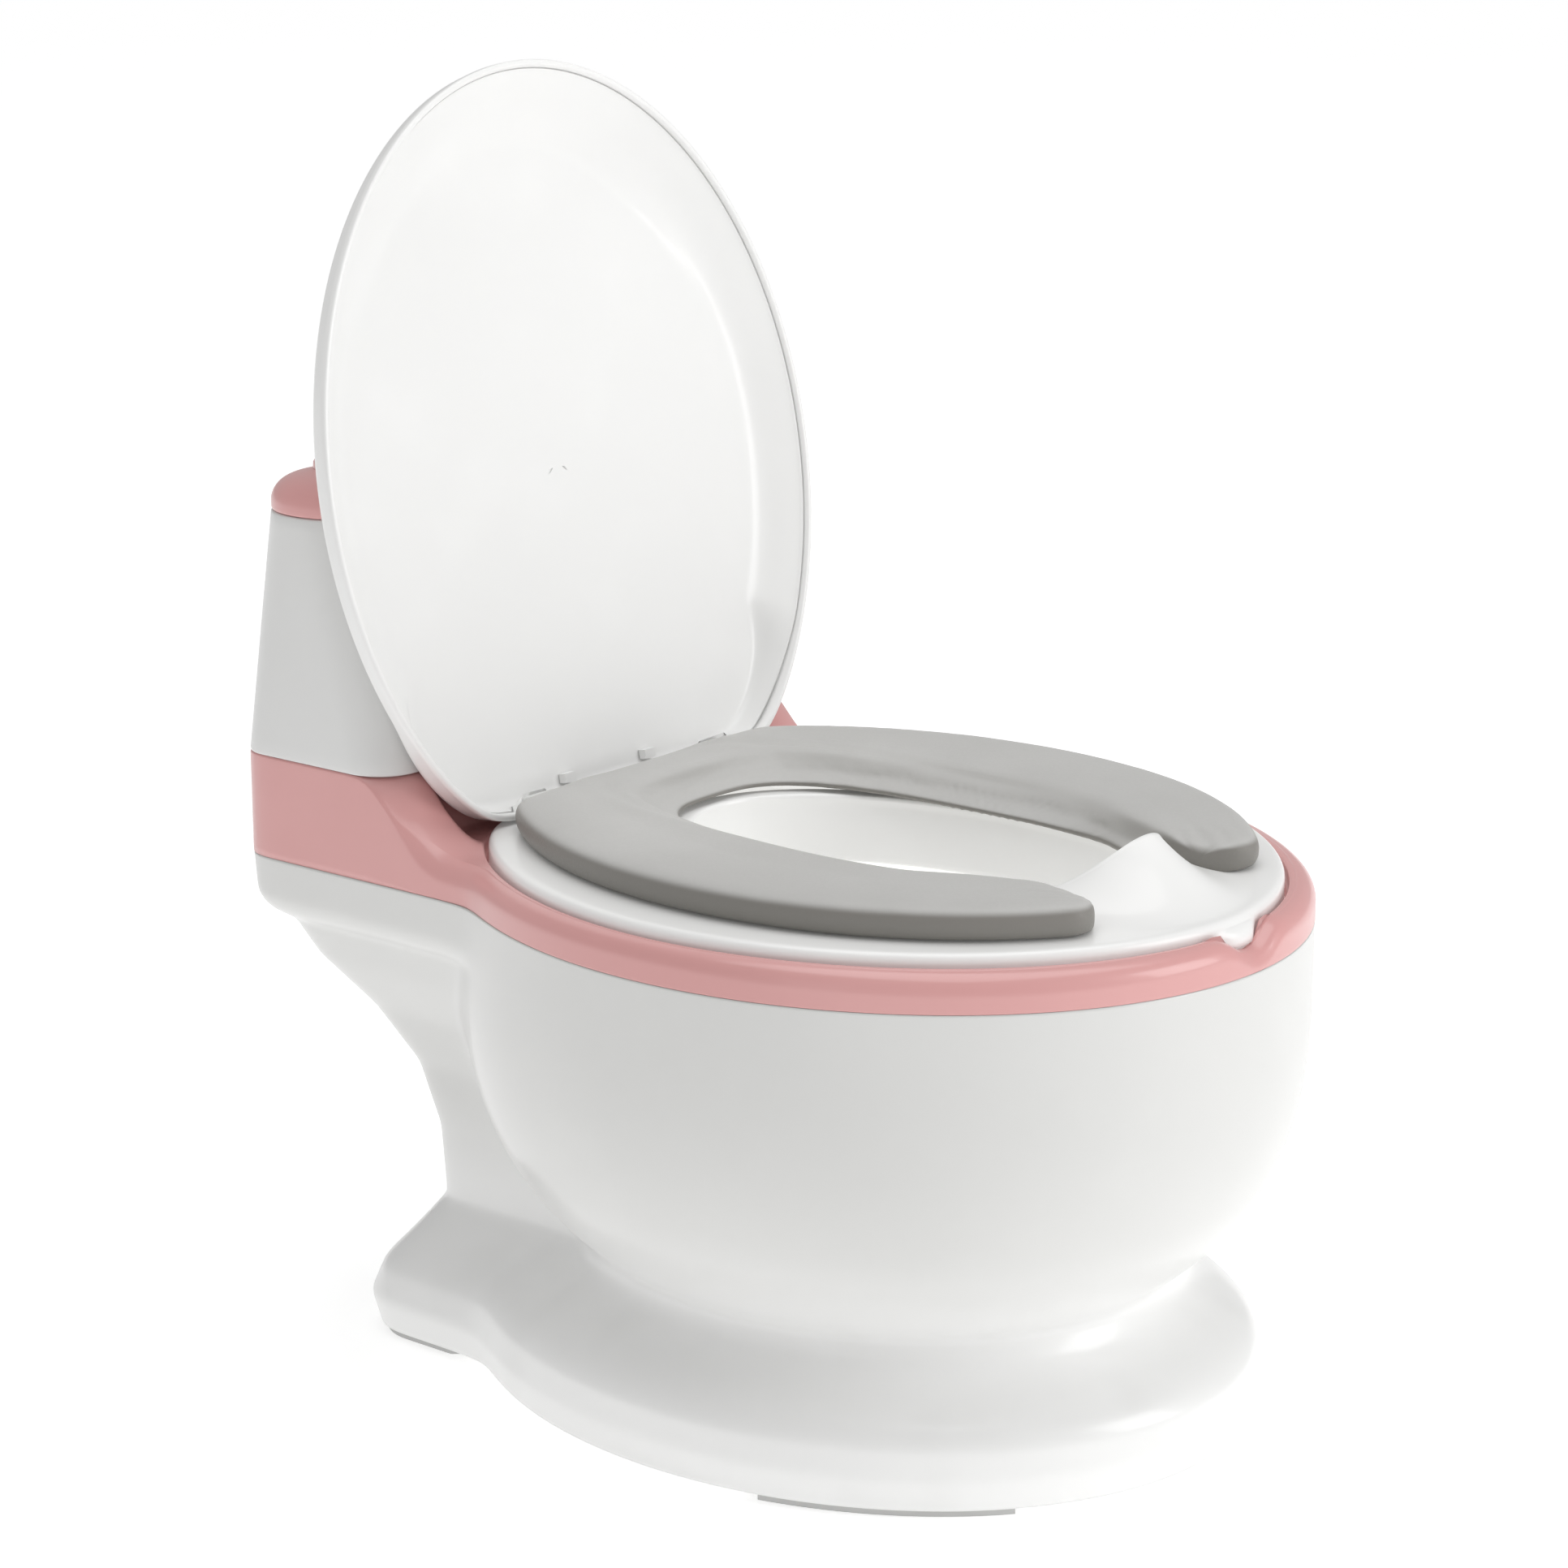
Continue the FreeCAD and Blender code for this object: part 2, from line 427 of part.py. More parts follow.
# ---- lid: drawn flat, x across, y along its length, outside towards -z ----
def lid_outline(z0, height):
    """Oval cut off by the straight bottom edge, with rounded corners, as a prism."""
    face = Part.Face(oval(LID_A, LID_B, LID_CT, z0))
    face = face.common(block(-200, 200, LID_EDGE, 400, z0 - 0.5, z0 + 0.5))
    solid = face.Faces[0].extrude(V(0, 0, height))
    upright = [e for e in solid.Edges if e.BoundBox.ZLength > height - 0.1 and e.BoundBox.XLength < 0.1]
    corners = [e for e in upright if e.BoundBox.YMax < LID_EDGE + 1]
    return solid.makeFillet(16.0, corners)


def dish(inset, depth, bulge):
    steps = [(29.0, 1.0), (21.0, 0.95), (14.0, 0.82), (7.0, 0.58), (2.5, 0.37), (0.0, 0.19)]
    wires = [oval(LID_A - inset - e, LID_B - inset - e, LID_CT, -depth * k) for e, k in steps]
    wires.append(oval(LID_A - inset, LID_B - inset, LID_CT, 1.0 if inset else 0.0))
    shape = loft(wires, True)
    if inset:
        shape = shape.common(block(-200, 200, LID_EDGE + inset, 400, -50, 50))
    else:
        shape = shape.common(lid_outline(-depth - 5.0, depth + 10.0))
    hump = loft([oval(62.0 - inset, 32.0 - inset, 208.0, -bulge),
                 oval(82.0 - inset, 42.0 - inset, 202.0, -0.5 * (depth + bulge)),
                 oval(96.0 - inset, 51.0 - inset, 197.0, -depth + 1.0)], True)
    return shape.fuse(hump)


lid = dish(0.0, LID_DEPTH, BULGE_DEPTH).cut(dish(THIN, LID_DEPTH - THIN, BULGE_DEPTH - THIN))
LID_INSIDE = -(LID_DEPTH - THIN)
rubber = [block(x - 3.0, x + 3.0, 6.5, 10.0, LID_INSIDE, LID_INSIDE + 3.2) for x in (-23.0, 23.0)]


def place_lid(shape):
    """Stand the flat lid up against the tank."""
    turned = shape.copy()
    turned.rotate(V(0, 0, 0), V(1, 0, 0), 90.0 - LEAN)
    s, c = math.sin(math.radians(LEAN)), math.cos(math.radians(LEAN))
    # rim plane 0.3 mm behind the hinge axis, length origin 0.9 mm below it
    turned.translate(V(0, HINGE_Y - 0.9 * s - LID_PLANE * c, HINGE_Z - 0.9 * c + LID_PLANE * s))
    return turned


lid = place_lid(lid)
for sign in (-1, 1):
    x0, x1 = sorted((sign * KNUCKLE_IN, sign * (LUG_IN - 0.3)))
    knuckle = rod_x(x0, x1, HINGE_Y, HINGE_Z, KNUCKLE_R)
    lid = lid.fuse(knuckle)
    x0, x1 = sorted((sign * (LUG_IN - 0.3), sign * (LUG_OUT + 0.4)))
    lid = lid.cut(rod_x(x0, x1, HINGE_Y, HINGE_Z, LUG_R + 0.5))
    x0, x1 = sorted((sign * (KNUCKLE_IN + 1.5), sign * (LUG_IN + 2.0)))
    lid = lid.cut(rod_x(x0, x1, HINGE_Y, HINGE_Z, PIN_R + 0.04))
save("seat_lid", lid)
save("lid_bumpers", Part.makeCompound([place_lid(b) for b in rubber]))
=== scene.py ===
"""Looks of the potty training chair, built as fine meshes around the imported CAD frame."""
import math

import bmesh
import bpy
import numpy as np
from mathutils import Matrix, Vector
from mathutils.kdtree import KDTree


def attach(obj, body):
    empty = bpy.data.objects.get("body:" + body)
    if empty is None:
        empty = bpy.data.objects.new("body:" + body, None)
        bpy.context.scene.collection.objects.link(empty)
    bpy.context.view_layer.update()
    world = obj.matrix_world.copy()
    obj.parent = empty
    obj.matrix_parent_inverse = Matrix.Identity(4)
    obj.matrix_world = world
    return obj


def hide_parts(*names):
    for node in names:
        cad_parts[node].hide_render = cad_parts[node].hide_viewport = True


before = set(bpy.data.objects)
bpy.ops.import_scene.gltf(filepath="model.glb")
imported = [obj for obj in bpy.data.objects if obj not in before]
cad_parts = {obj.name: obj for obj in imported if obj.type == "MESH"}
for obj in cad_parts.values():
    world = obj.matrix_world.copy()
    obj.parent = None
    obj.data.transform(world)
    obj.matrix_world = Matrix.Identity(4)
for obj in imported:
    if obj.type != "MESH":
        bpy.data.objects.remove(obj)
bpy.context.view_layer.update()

MM = 0.001
STEPS = 336                     # columns of a mesh that runs round the object
THETA = np.linspace(0, 2 * np.pi, STEPS, endpoint=False)

# ---- sizes in millimetres, as in the CAD ----
SEAT_CY = -27.7                 # middle of the rim and seat ovals
RIM_A, RIM_B = 141.1, 161.8     # half width and half length of the rim
PARTING_Z = 187.3               # seam between the white body and the deck
RIM_TOP = 200.7
BODY_POLE = 45.0                # the body and deck are drawn round this point
SHELF_Z = 190.3                 # ledge that the pot and ring stand on
RING_A, RING_B = 132.6, 153.3
RING_GAP = 0.8
RING_REAR = 104.0
RING_TOP = 204.7
HOLE_A, HOLE_B, HOLE_CY = 57.0, 95.5, -45.5
GUARD_TOP = 226.9
BACK_Y = 189.5
TANK_HW = 112.3                 # half width of the band under the tank
BAND_TOP = 226.5
LID_LINE = 318.0                # seam between the tank walls and the tank lid
HINGE_Y, HINGE_Z = 89.5, 206.5
HINGE_CLEAR = 8.6               # room in the lid round each hinge barrel
LUG_R, LUG_FOOT = 7.2, 198.5
KNUCKLE_R = 6.2
LEAN = math.radians(10.9)       # the open lid leans back by this much
BUTTON_X, BUTTON_Y = -79.0, 156.0
POST_XS = (-92.0, -40.0)        # posts that hold the sound module under the tank lid
POT_POLE, POT_WALL = -34.0, 2.4


# ---- outlines in plan, in millimetres ----
def oval(a, b, cy, power=2.0, count=720):
    t = np.linspace(0, 2 * np.pi, count, endpoint=False)
    c, s = np.cos(t), np.sin(t)
    x = a * np.sign(c) * np.abs(c) ** (2.0 / power)
    y = cy + b * np.sign(s) * np.abs(s) ** (2.0 / power)
    return np.stack([x, y], 1)


def rounded(hw, y0, y1, r, r_front=None):
    """Counter-clockwise rounded rectangle from the front right corner, with fixed counts."""
    side_count, arc_count = 40, 16
    f = r if r_front is None else r_front
    parts = []
    corners = [(hw - f, y0 + f, f, -90), (hw - r, y1 - r, r, 0),
               (-hw + r, y1 - r, r, 90), (-hw + f, y0 + f, f, 180)]
    for i, (cx, cy, rad, start) in enumerate(corners):
        a = np.radians(start + np.linspace(0, 90, arc_count, endpoint=False))
        parts.append(np.stack([cx + rad * np.cos(a), cy + rad * np.sin(a)], 1))
        nx, ny, nrad, _ = corners[(i + 1) % 4]
        end = np.radians(start + 90)
        p = np.array([cx + rad * math.cos(end), cy + rad * math.sin(end)])
        q = np.array([nx + nrad * math.cos(end), ny + nrad * math.sin(end)])
        k = np.linspace(0, 1, side_count, endpoint=False)[:, None]
        parts.append(p + (q - p) * k)
    return np.concatenate(parts)


def radial(points, pole, theta):
    """Distance from the pole to a star-shaped outline in each direction theta."""
    d = points - np.array([0.0, pole])
    ang = np.arctan2(d[:, 1], d[:, 0]) % (2 * np.pi)
    rad = np.hypot(d[:, 0], d[:, 1])
    order = np.argsort(ang)
    ang, rad = ang[order], rad[order]
    ang = np.concatenate([ang[-3:] - 2 * np.pi, ang, ang[:3] + 2 * np.pi])
    rad = np.concatenate([rad[-3:], rad, rad[:3]])
    return np.interp(theta % (2 * np.pi), ang, rad)


def cut_rear(points, y_max, soft=8.0):
    """Flattens an outline softly against the line y = y_max."""
    out = points.copy()
    y = out[:, 1]
    out[:, 1] = 0.5 * (y + y_max - np.sqrt((y - y_max) ** 2 + soft ** 2)) + soft * 0.12
    return out


def smax(a, b, k):
    """Larger of a and b, with the corner between them rounded over k."""
    return 0.5 * (a + b + np.sqrt((a - b) ** 2 + k * k))


def smoothstep(x, lo, hi):
    t = np.clip((x - lo) / (hi - lo), 0, 1)
    return t * t * (3 - 2 * t)


def blur(values, sigma, axis, wrap):
    """Gaussian smoothing of a grid along one axis; the ends stay where they are unless it wraps."""
    reach = int(math.ceil(3 * sigma))
    k = np.exp(-0.5 * (np.arange(-reach, reach + 1) / sigma) ** 2)
    k /= k.sum()
    values = np.moveaxis(values, axis, 0)
    if wrap:
        padded = np.concatenate([values[-reach:], values, values[:reach]])
    else:
        head = 2 * values[:1] - values[1:reach + 1][::-1]
        tail = 2 * values[-1:] - values[-reach - 1:-1][::-1]
        padded = np.concatenate([head, values, tail])
    out = sum(w * padded[i:i + len(values)] for i, w in enumerate(k))
    return np.moveaxis(out, 0, axis)


def resample(points, count):
    """Evenly spaced points along one open polyline."""
    step = np.linalg.norm(np.diff(points, axis=0), axis=1)
    at = np.concatenate([[0], np.cumsum(step)])
    want = np.linspace(0, at[-1], count)
    return np.stack([np.interp(want, at, points[:, i]) for i in range(points.shape[1])], 1)


# ---- meshes ----
def add_object(name, verts, faces):
    """Welded, outward-facing, smooth-shaded object."""
    mesh = bpy.data.meshes.new(name)
    mesh.from_pydata([tuple(v) for v in verts], [], faces)
    mesh.update()
    bm = bmesh.new()
    bm.from_mesh(mesh)
    bmesh.ops.remove_doubles(bm, verts=bm.verts, dist=0.00002)
    bmesh.ops.dissolve_degenerate(bm, edges=bm.edges, dist=0.00001)
    bmesh.ops.recalc_face_normals(bm, faces=bm.faces)
    bm.to_mesh(mesh)
    bm.free()
    for p in mesh.polygons:
        p.use_smooth = True
    obj = bpy.data.objects.new(name, mesh)
    bpy.context.scene.collection.objects.link(obj)
    return obj


def grid(name, rows, loop=True):
    """Mesh from rows x columns x 3 (mm). Columns wrap; rows wrap when loop, or else end in fans."""
    rows = np.asarray(rows)
    n_rows, n_cols = rows.shape[:2]
    verts = [v for v in rows.reshape(-1, 3) * MM]
    faces = []
    for i in range(n_rows if loop else n_rows - 1):
        k = (i + 1) % n_rows
        for j in range(n_cols):
            m = (j + 1) % n_cols
            faces.append((i * n_cols + j, i * n_cols + m, k * n_cols + m, k * n_cols + j))
    if not loop:
        for i in (0, n_rows - 1):
            verts.append(rows[i].mean(0) * MM)
            c = len(verts) - 1
            for j in range(n_cols):
                m = (j + 1) % n_cols
                faces.append((i * n_cols + j, c, i * n_cols + m))
    return add_object(name, verts, faces)


def polar(theta, pole, r, z):
    """Grid of points from radius and height arrays shaped (columns, rows); returns rows x columns x 3."""
    x = r * np.cos(theta)[:, None]
    y = pole + r * np.sin(theta)[:, None]
    return np.stack([x, y, z], 2).transpose(1, 0, 2)


def revolve(name, profile, centre, count=96):
    """Turned piece: profile of (radius, height) in mm round a vertical axis, closed by fans on the axis."""
    t = np.linspace(0, 2 * np.pi, count, endpoint=False)
    rows = [[(centre[0] + r * math.cos(a), centre[1] + r * math.sin(a), z) for a in t] for r, z in profile]
    return grid(name, rows, loop=False)


def barrel(name, x0, x1, outline, edge=1.2):
    """Piece drawn in the YZ plane and run along X, with rounded ends."""
    outline = np.asarray(outline)
    mid = outline.mean(0)
    d = outline - mid
    size = np.linalg.norm(d, axis=1, keepdims=True)
    rows = []
    for x, inset in [(x0, edge), (x0 + 0.3 * edge, 0.3 * edge), (x0 + edge, 0.0),
                     (x1 - edge, 0.0), (x1 - 0.3 * edge, 0.3 * edge), (x1, edge)]:
        p = mid + d * (1 - inset / size)
        rows.append(np.column_stack([np.full(len(p), x), p[:, 0], p[:, 1]]))
    return grid(name, rows, loop=False)


def join(name, objs):
    """One object from several."""
    bm = bmesh.new()
    for o in objs:
        bm.from_mesh(o.data)
    mesh = bpy.data.meshes.new(name)
    bm.to_mesh(mesh)
    bm.free()
    for o in objs:
        bpy.data.objects.remove(o)
    obj = bpy.data.objects.new(name, mesh)
    bpy.context.scene.collection.objects.link(obj)
    return obj


# ---- materials ----
def new_material(name):
    mat = bpy.data.materials.new(name)
    mat.use_nodes = True
    return mat, mat.node_tree.nodes, mat.node_tree.links, mat.node_tree.nodes["Principled BSDF"]


def noise_node(nodes, links, coord, scale, detail=3.0):
    n = nodes.new("ShaderNodeTexNoise")
    n.inputs["Scale"].default_value = scale
    n.inputs["Detail"].default_value = detail
    links.new(coord, n.inputs["Vector"])
    return n


def ranged(nodes, links, source, lo, hi, out_lo, out_hi):
    """Eases from out_lo to out_hi as source goes from lo to hi."""
    m = nodes.new("ShaderNodeMapRange")
    m.interpolation_type = "SMOOTHSTEP"
    m.inputs["From Min"].default_value = lo
    m.inputs["From Max"].default_value = hi
    m.inputs["To Min"].default_value = out_lo
    m.inputs["To Max"].default_value = out_hi
    links.new(source, m.inputs["Value"])
    return m.outputs["Result"]


def blend_colours(nodes, links, factor, a, b):
    m = nodes.new("ShaderNodeMix")
    m.data_type = "RGBA"
    links.new(factor, m.inputs["Factor"])
    for socket, value in ((m.inputs["A"], a), (m.inputs["B"], b)):
        if hasattr(value, "is_output"):
            links.new(value, socket)
        else:
            socket.default_value = (*value, 1)
    return m.outputs["Result"]


def bump_chain(nodes, links, bsdf, layers):
    """Layers of (height socket, strength, distance in metres), coarse first."""
    previous = None
    for height, strength, distance in layers:
        b = nodes.new("ShaderNodeBump")
        b.inputs["Strength"].default_value = strength
        b.inputs["Distance"].default_value = distance
        links.new(height, b.inputs["Height"])
        if previous:
            links.new(previous, b.inputs["Normal"])
        previous = b.outputs["Normal"]
    links.new(previous, bsdf.inputs["Normal"])


def plastic(name, colour, shade, rough, coat=0.0, grain=0.02, glow=0.0, foot=None):
    """Moulded plastic: slow colour drift, rubbed patches, faint flow marks and a fine skin.

    foot is a lighter colour painted on the lowest part, below the bowl: painted light that brightens the
    base lying in the bowl's shadow."""
    mat, nodes, links, bsdf = new_material(name)
    coord = nodes.new("ShaderNodeTexCoord").outputs["Object"]
    slow = noise_node(nodes, links, coord, 7.0, 2.0).outputs["Fac"]
    tiny = noise_node(nodes, links, coord, 1500.0, 2.0).outputs["Fac"]
    body = blend_colours(nodes, links, ranged(nodes, links, slow, 0.35, 0.65, 0.0, 1.0), colour, shade)
    patch = noise_node(nodes, links, coord, 26.0, 1.5).outputs["Fac"]
    rub = ranged(nodes, links, patch, 0.50, 0.80, 0.0, 0.25)
    # painted light: below the bowl the colour eases to the lighter foot colour
    if foot:
        height = nodes.new("ShaderNodeSeparateXYZ")
        links.new(coord, height.inputs["Vector"])
        painted_foot_light_fade = ranged(nodes, links, height.outputs["Z"], 0.045, 0.100, 0.0, 1.0)
        body = blend_colours(nodes, links, painted_foot_light_fade, foot, body)
    lighter = tuple(min(1.0, c * 1.04 + 0.01) for c in colour)
    links.new(blend_colours(nodes, links, rub, body, lighter), bsdf.inputs["Base Color"])
    links.new(ranged(nodes, links, slow, 0.3, 0.7, rough - 0.03, rough + 0.04), bsdf.inputs["Roughness"])
    bsdf.inputs["Coat Weight"].default_value = coat
    bsdf.inputs["Coat Roughness"].default_value = 0.08
    bsdf.inputs["IOR"].default_value = 1.49
    # glow is painted light: the part emits light though it is no lamp
    bsdf.inputs["Emission Color"].default_value = (1.0, 0.995, 0.985, 1)
    bsdf.inputs["Emission Strength"].default_value = glow
    bump_chain(nodes, links, bsdf, [(slow, 0.04, 0.0006), (tiny, grain, 0.00002)])
    return mat


def soft_skin(name, colour, shade):
    """Moulded soft foam with a fine pebbled skin."""
    mat, nodes, links, bsdf = new_material(name)
    coord = nodes.new("ShaderNodeTexCoord").outputs["Object"]
    slow = noise_node(nodes, links, coord, 14.0, 3.0).outputs["Fac"]
    grains = nodes.new("ShaderNodeTexVoronoi")
    grains.inputs["Scale"].default_value = 620.0
    links.new(coord, grains.inputs["Vector"])
    fine = noise_node(nodes, links, coord, 1700.0, 3.0).outputs["Fac"]
    body = blend_colours(nodes, links, ranged(nodes, links, slow, 0.35, 0.65, 0.0, 1.0), colour, shade)
    pit = ranged(nodes, links, grains.outputs["Distance"], 0.0, 0.9, 0.0, 0.16)
    darker = tuple(c * 0.86 for c in colour)
    pitted = blend_colours(nodes, links, pit, body, darker)
    # painted shade: where the surface faces sideways or down, the colour is darker than on the top
    facing = nodes.new("ShaderNodeSeparateXYZ")
    links.new(nodes.new("ShaderNodeTexCoord").outputs["Normal"], facing.inputs["Vector"])
    side = ranged(nodes, links, facing.outputs["Z"], 0.40, 0.92, 0.95, 0.0)
    painted_side_shade = tuple(c * k for c, k in zip(colour, (0.40, 0.385, 0.36)))
    links.new(blend_colours(nodes, links, side, pitted, painted_side_shade), bsdf.inputs["Base Color"])
    links.new(ranged(nodes, links, fine, 0.3, 0.7, 0.46, 0.60), bsdf.inputs["Roughness"])
    bsdf.inputs["Sheen Weight"].default_value = 0.12
    bsdf.inputs["Sheen Roughness"].default_value = 0.5
    bump_chain(nodes, links, bsdf, [(slow, 0.12, 0.0008), (grains.outputs["Distance"], 0.16, 0.00018),
                                    (fine, 0.08, 0.00006)])
    return mat


def metal(name, colour, rough):
    mat, nodes, links, bsdf = new_material(name)
    coord = nodes.new("ShaderNodeTexCoord").outputs["Object"]
    slow = noise_node(nodes, links, coord, 90.0, 3.0).outputs["Fac"]
    fine = noise_node(nodes, links, coord, 1200.0, 3.0).outputs["Fac"]
    dull = tuple(c * 0.8 for c in colour)
    links.new(blend_colours(nodes, links, ranged(nodes, links, slow, 0.3, 0.7, 0.0, 1.0), colour, dull),
              bsdf.inputs["Base Color"])
    links.new(ranged(nodes, links, fine, 0.3, 0.7, rough - 0.08, rough + 0.1), bsdf.inputs["Roughness"])
    bsdf.inputs["Metallic"].default_value = 1.0
    bump_chain(nodes, links, bsdf, [(fine, 0.1, 0.00005)])
    return mat


# white_plastic is a darker copy of the lid's white, painted shade for the shaded body; its lighter foot
# colour is painted light below the bowl
WHITE = plastic("white_plastic", (0.72, 0.72, 0.705), (0.70, 0.70, 0.685), 0.32, coat=0.25,
                foot=(0.93, 0.93, 0.92))
TANK = plastic("tank_plastic", (0.74, 0.74, 0.73), (0.71, 0.71, 0.70), 0.34, coat=0.2)
# the ring's faint glow is painted light
RING_MAT = plastic("ring_plastic", (0.86, 0.86, 0.85), (0.83, 0.83, 0.82), 0.32, coat=0.25, glow=0.05)
LID_MAT = plastic("lid_plastic", (0.88, 0.88, 0.87), (0.86, 0.86, 0.85), 0.33, coat=0.2)
PINK = plastic("pink_plastic", (0.72, 0.37, 0.36), (0.69, 0.345, 0.335), 0.32, coat=0.35)
BUTTON_PINK = plastic("button_plastic", (0.80, 0.47, 0.46), (0.77, 0.44, 0.43), 0.32, coat=0.4)
# the pot's glow is painted light that brightens the shaded inside of the bowl; the cushion backing, sound
# module case and battery door share it
POT_MAT = plastic("pot_plastic", (0.93, 0.93, 0.92), (0.90, 0.90, 0.89), 0.36, glow=0.30)
DARK = plastic("dark_plastic", (0.035, 0.035, 0.035), (0.05, 0.05, 0.05), 0.5)
BOARD = plastic("board", (0.03, 0.14, 0.06), (0.04, 0.18, 0.08), 0.4)
RUBBER = plastic("pad_rubber", (0.60, 0.60, 0.59), (0.55, 0.55, 0.54), 0.62, grain=0.2)
STEEL = metal("screw_steel", (0.62, 0.62, 0.64), 0.34)
CUSHION = soft_skin("cushion_skin", (0.52, 0.515, 0.50), (0.49, 0.485, 0.47))
NODE_MATERIALS = {
    "deck_screws": STEEL, "casing_screws": STEEL, "hinge_pin_left": STEEL, "hinge_pin_right": STEEL,
    "battery_door_screw": STEEL, "module_screws": STEEL, "button_spring": RUBBER, "battery_cells": STEEL,
    "battery_contacts": STEEL, "circuit_board": BOARD, "button_switch": DARK, "speaker": DARK,
    "cushion_backing": POT_MAT, "sound_module_case": POT_MAT, "battery_door": POT_MAT,
    "seat_bumpers": RUBBER, "lid_bumpers": LID_MAT,
    "foot_pad_front_left": RUBBER, "foot_pad_front_right": RUBBER,
    "foot_pad_rear_left": RUBBER, "foot_pad_rear_right": RUBBER,
}
for node, material in NODE_MATERIALS.items():
    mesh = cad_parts[node].data
    mesh.materials.clear()
    mesh.materials.append(material)


def place(obj, body, slot, material, *nodes):
    """Gives a piece its material, rides it on a body and lets it stand for CAD nodes. The slot argument is
    not used.
    """
    obj.data.materials.clear()
    obj.data.materials.append(material)
    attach(obj, body)
    if nodes:
        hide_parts(*nodes)
    return obj


# ---- white body ----
# height, half width, half length, middle of the oval foot
FOOT = [(3.2, 127.5, 153.2, -20.0), (15.0, 130.5, 156.2, -20.0), (27.0, 129.5, 154.5, -20.0),
        (32.0, 126.0, 150.5, -20.0), (36.0, 120.5, 143.0, -21.0), (40.0, 114.0, 134.0, -22.5),
        (44.0, 107.5, 126.0, -25.0), (48.0, 103.0, 120.0, -27.0), (58.0, 99.5, 114.5, -27.7)]
# height, half width, back, corner radius of the column behind the bowl
HEEL = [(3.2, 94.0, 152.6, 24.0), (15.0, 97.0, 155.5, 26.0), (27.0, 93.0, 151.0, 24.0),
        (38.0, 80.0, 143.5, 19.0), (50.0, 68.0, 136.0, 15.0), (78.0, 68.0, 138.5, 15.0),
        (103.0, 71.0, 147.5, 17.0), (125.0, 79.0, 164.0, 19.0), (145.0, 92.0, 180.0, 20.0),
        (161.5, 100.0, 184.0, 16.0), (163.0, 104.0, 185.0, 14.0), (166.5, 108.5, 187.0, 14.0),
        (171.5, 111.4, 188.7, 14.0), (PARTING_Z, TANK_HW, BACK_Y, 14.3)]


def table_at(table, z):
    cols = np.array(table).T
    return [np.interp(z, cols[0], c) for c in cols[1:]]


def bowl_scale(z):
    return (1.0 - (max(0.0, 160.0 - z) / 130.0) ** 2.5) ** 0.4


def body_radius(z):
    foot, bowl = 0.0, 0.0
    if z <= 58.0:
        a, b, cy = table_at(FOOT, z)
        foot = radial(oval(a, b, cy), BODY_POLE, THETA)
    if z >= 50.0:
        s = bowl_scale(z)
        bowl = radial(oval(RIM_A * s, RIM_B * s, SEAT_CY), BODY_POLE, THETA)
    hw, y1, r = table_at(HEEL, z)
    tower = radial(rounded(hw, 20.0, y1, r), BODY_POLE, THETA)
    front = smax(foot, bowl, 2.0) if 50.0 <= z <= 58.0 else np.maximum(foot, bowl)
    return smax(front, tower, 5.0)


def build_body():
    heights = np.arange(FOOT[0][0], PARTING_Z + 0.001, (PARTING_Z - FOOT[0][0]) / 368)
    radii = np.stack([body_radius(z) for z in heights], 1)
    radii = blur(blur(radii, 3.2, 1, False), 1.2, 0, True)
    outer_r, outer_z = [], []
    for radius in radii:
        line = np.stack([radius, heights], 1)
        parts = []
        for lo, hi, count in ((0.0, 60.0, 56), (60.0, 156.0, 56), (156.0, 200.0, 36)):
            pick = (heights >= lo) & (heights <= hi + 0.6)
            parts.append(resample(line[pick], count))
        line = np.concatenate([parts[0][:-1], parts[1][:-1], parts[2]])
        outer_r.append(line[:, 0])
        outer_z.append(line[:, 1])
    outer = polar(THETA, BODY_POLE, np.array(outer_r), np.array(outer_z))
    rows = list(outer)
    top = outer[-1]
    centre = np.array([0.0, BODY_POLE, 0.0])

    def shrink(row, inset, z):
        """The row moved in by inset, at height z."""
        d = row - centre
        d[:, 2] = 0.0
        size = np.linalg.norm(d, axis=1, keepdims=True)
        out = centre + d * (1 - inset / size)
        out[:, 2] = z
        return out

    rows.append(shrink(top, 3.2, PARTING_Z))
    for i in range(len(outer) - 4, 6, -4):
        rows.append(shrink(outer[i], 3.4, outer[i][:, 2]))
    rows.append(shrink(outer[0], 3.4, 6.4))
    rows.append(shrink(outer[0], 16.0, 6.4))
    rows.append(shrink(outer[0], 16.4, 3.4))
    rows.append(shrink(outer[0], 1.0, 3.2))
    return place(grid("body_shell", rows), "base", "white_shell", WHITE, "base_shell")


build_body()


# ---- pink deck ----
def footprint_distance(x, y):
    """Distance outside the tank casing's footprint."""
    r = 17.0
    dx = np.abs(x) - (112.9 - r)
    dy = np.maximum(111.5 + r - y, y - (188.5 - r))
    outside = np.hypot(np.maximum(dx, 0), np.maximum(dy, 0)) + np.minimum(np.maximum(dx, dy), 0)
    return np.maximum(outside - r, 0)


def deck_height(x, y):
    """Height of the deck: it sweeps up to the tank and has the finger notch in front."""
    d = footprint_distance(x, y)
    sweep = np.clip(1 - d / 36.0, 0, 1) ** 2.4
    steep = np.clip(1 - d / 2.0, 0, 1)
    side = smoothstep(np.abs(x), 80.0, 92.0)
    rise = np.maximum(sweep * side, steep)
    front = smoothstep(-y, 165.0, 176.0)
    scoop = np.sqrt(np.clip(1 - (x / 12.5) ** 2, 0, 1)) * 7.5
    lips = 1.0 * np.exp(-((np.abs(x) - 15.5) / 3.5) ** 2)
    return RIM_TOP + (BAND_TOP - RIM_TOP) * rise + front * (lips - scoop)


def parting_radius():
    box = radial(rounded(TANK_HW, 0.0, BACK_Y, 14.3), BODY_POLE, THETA)
    rim = radial(oval(RIM_A, RIM_B, SEAT_CY), BODY_POLE, THETA)
    return smax(rim, box, 4.0)


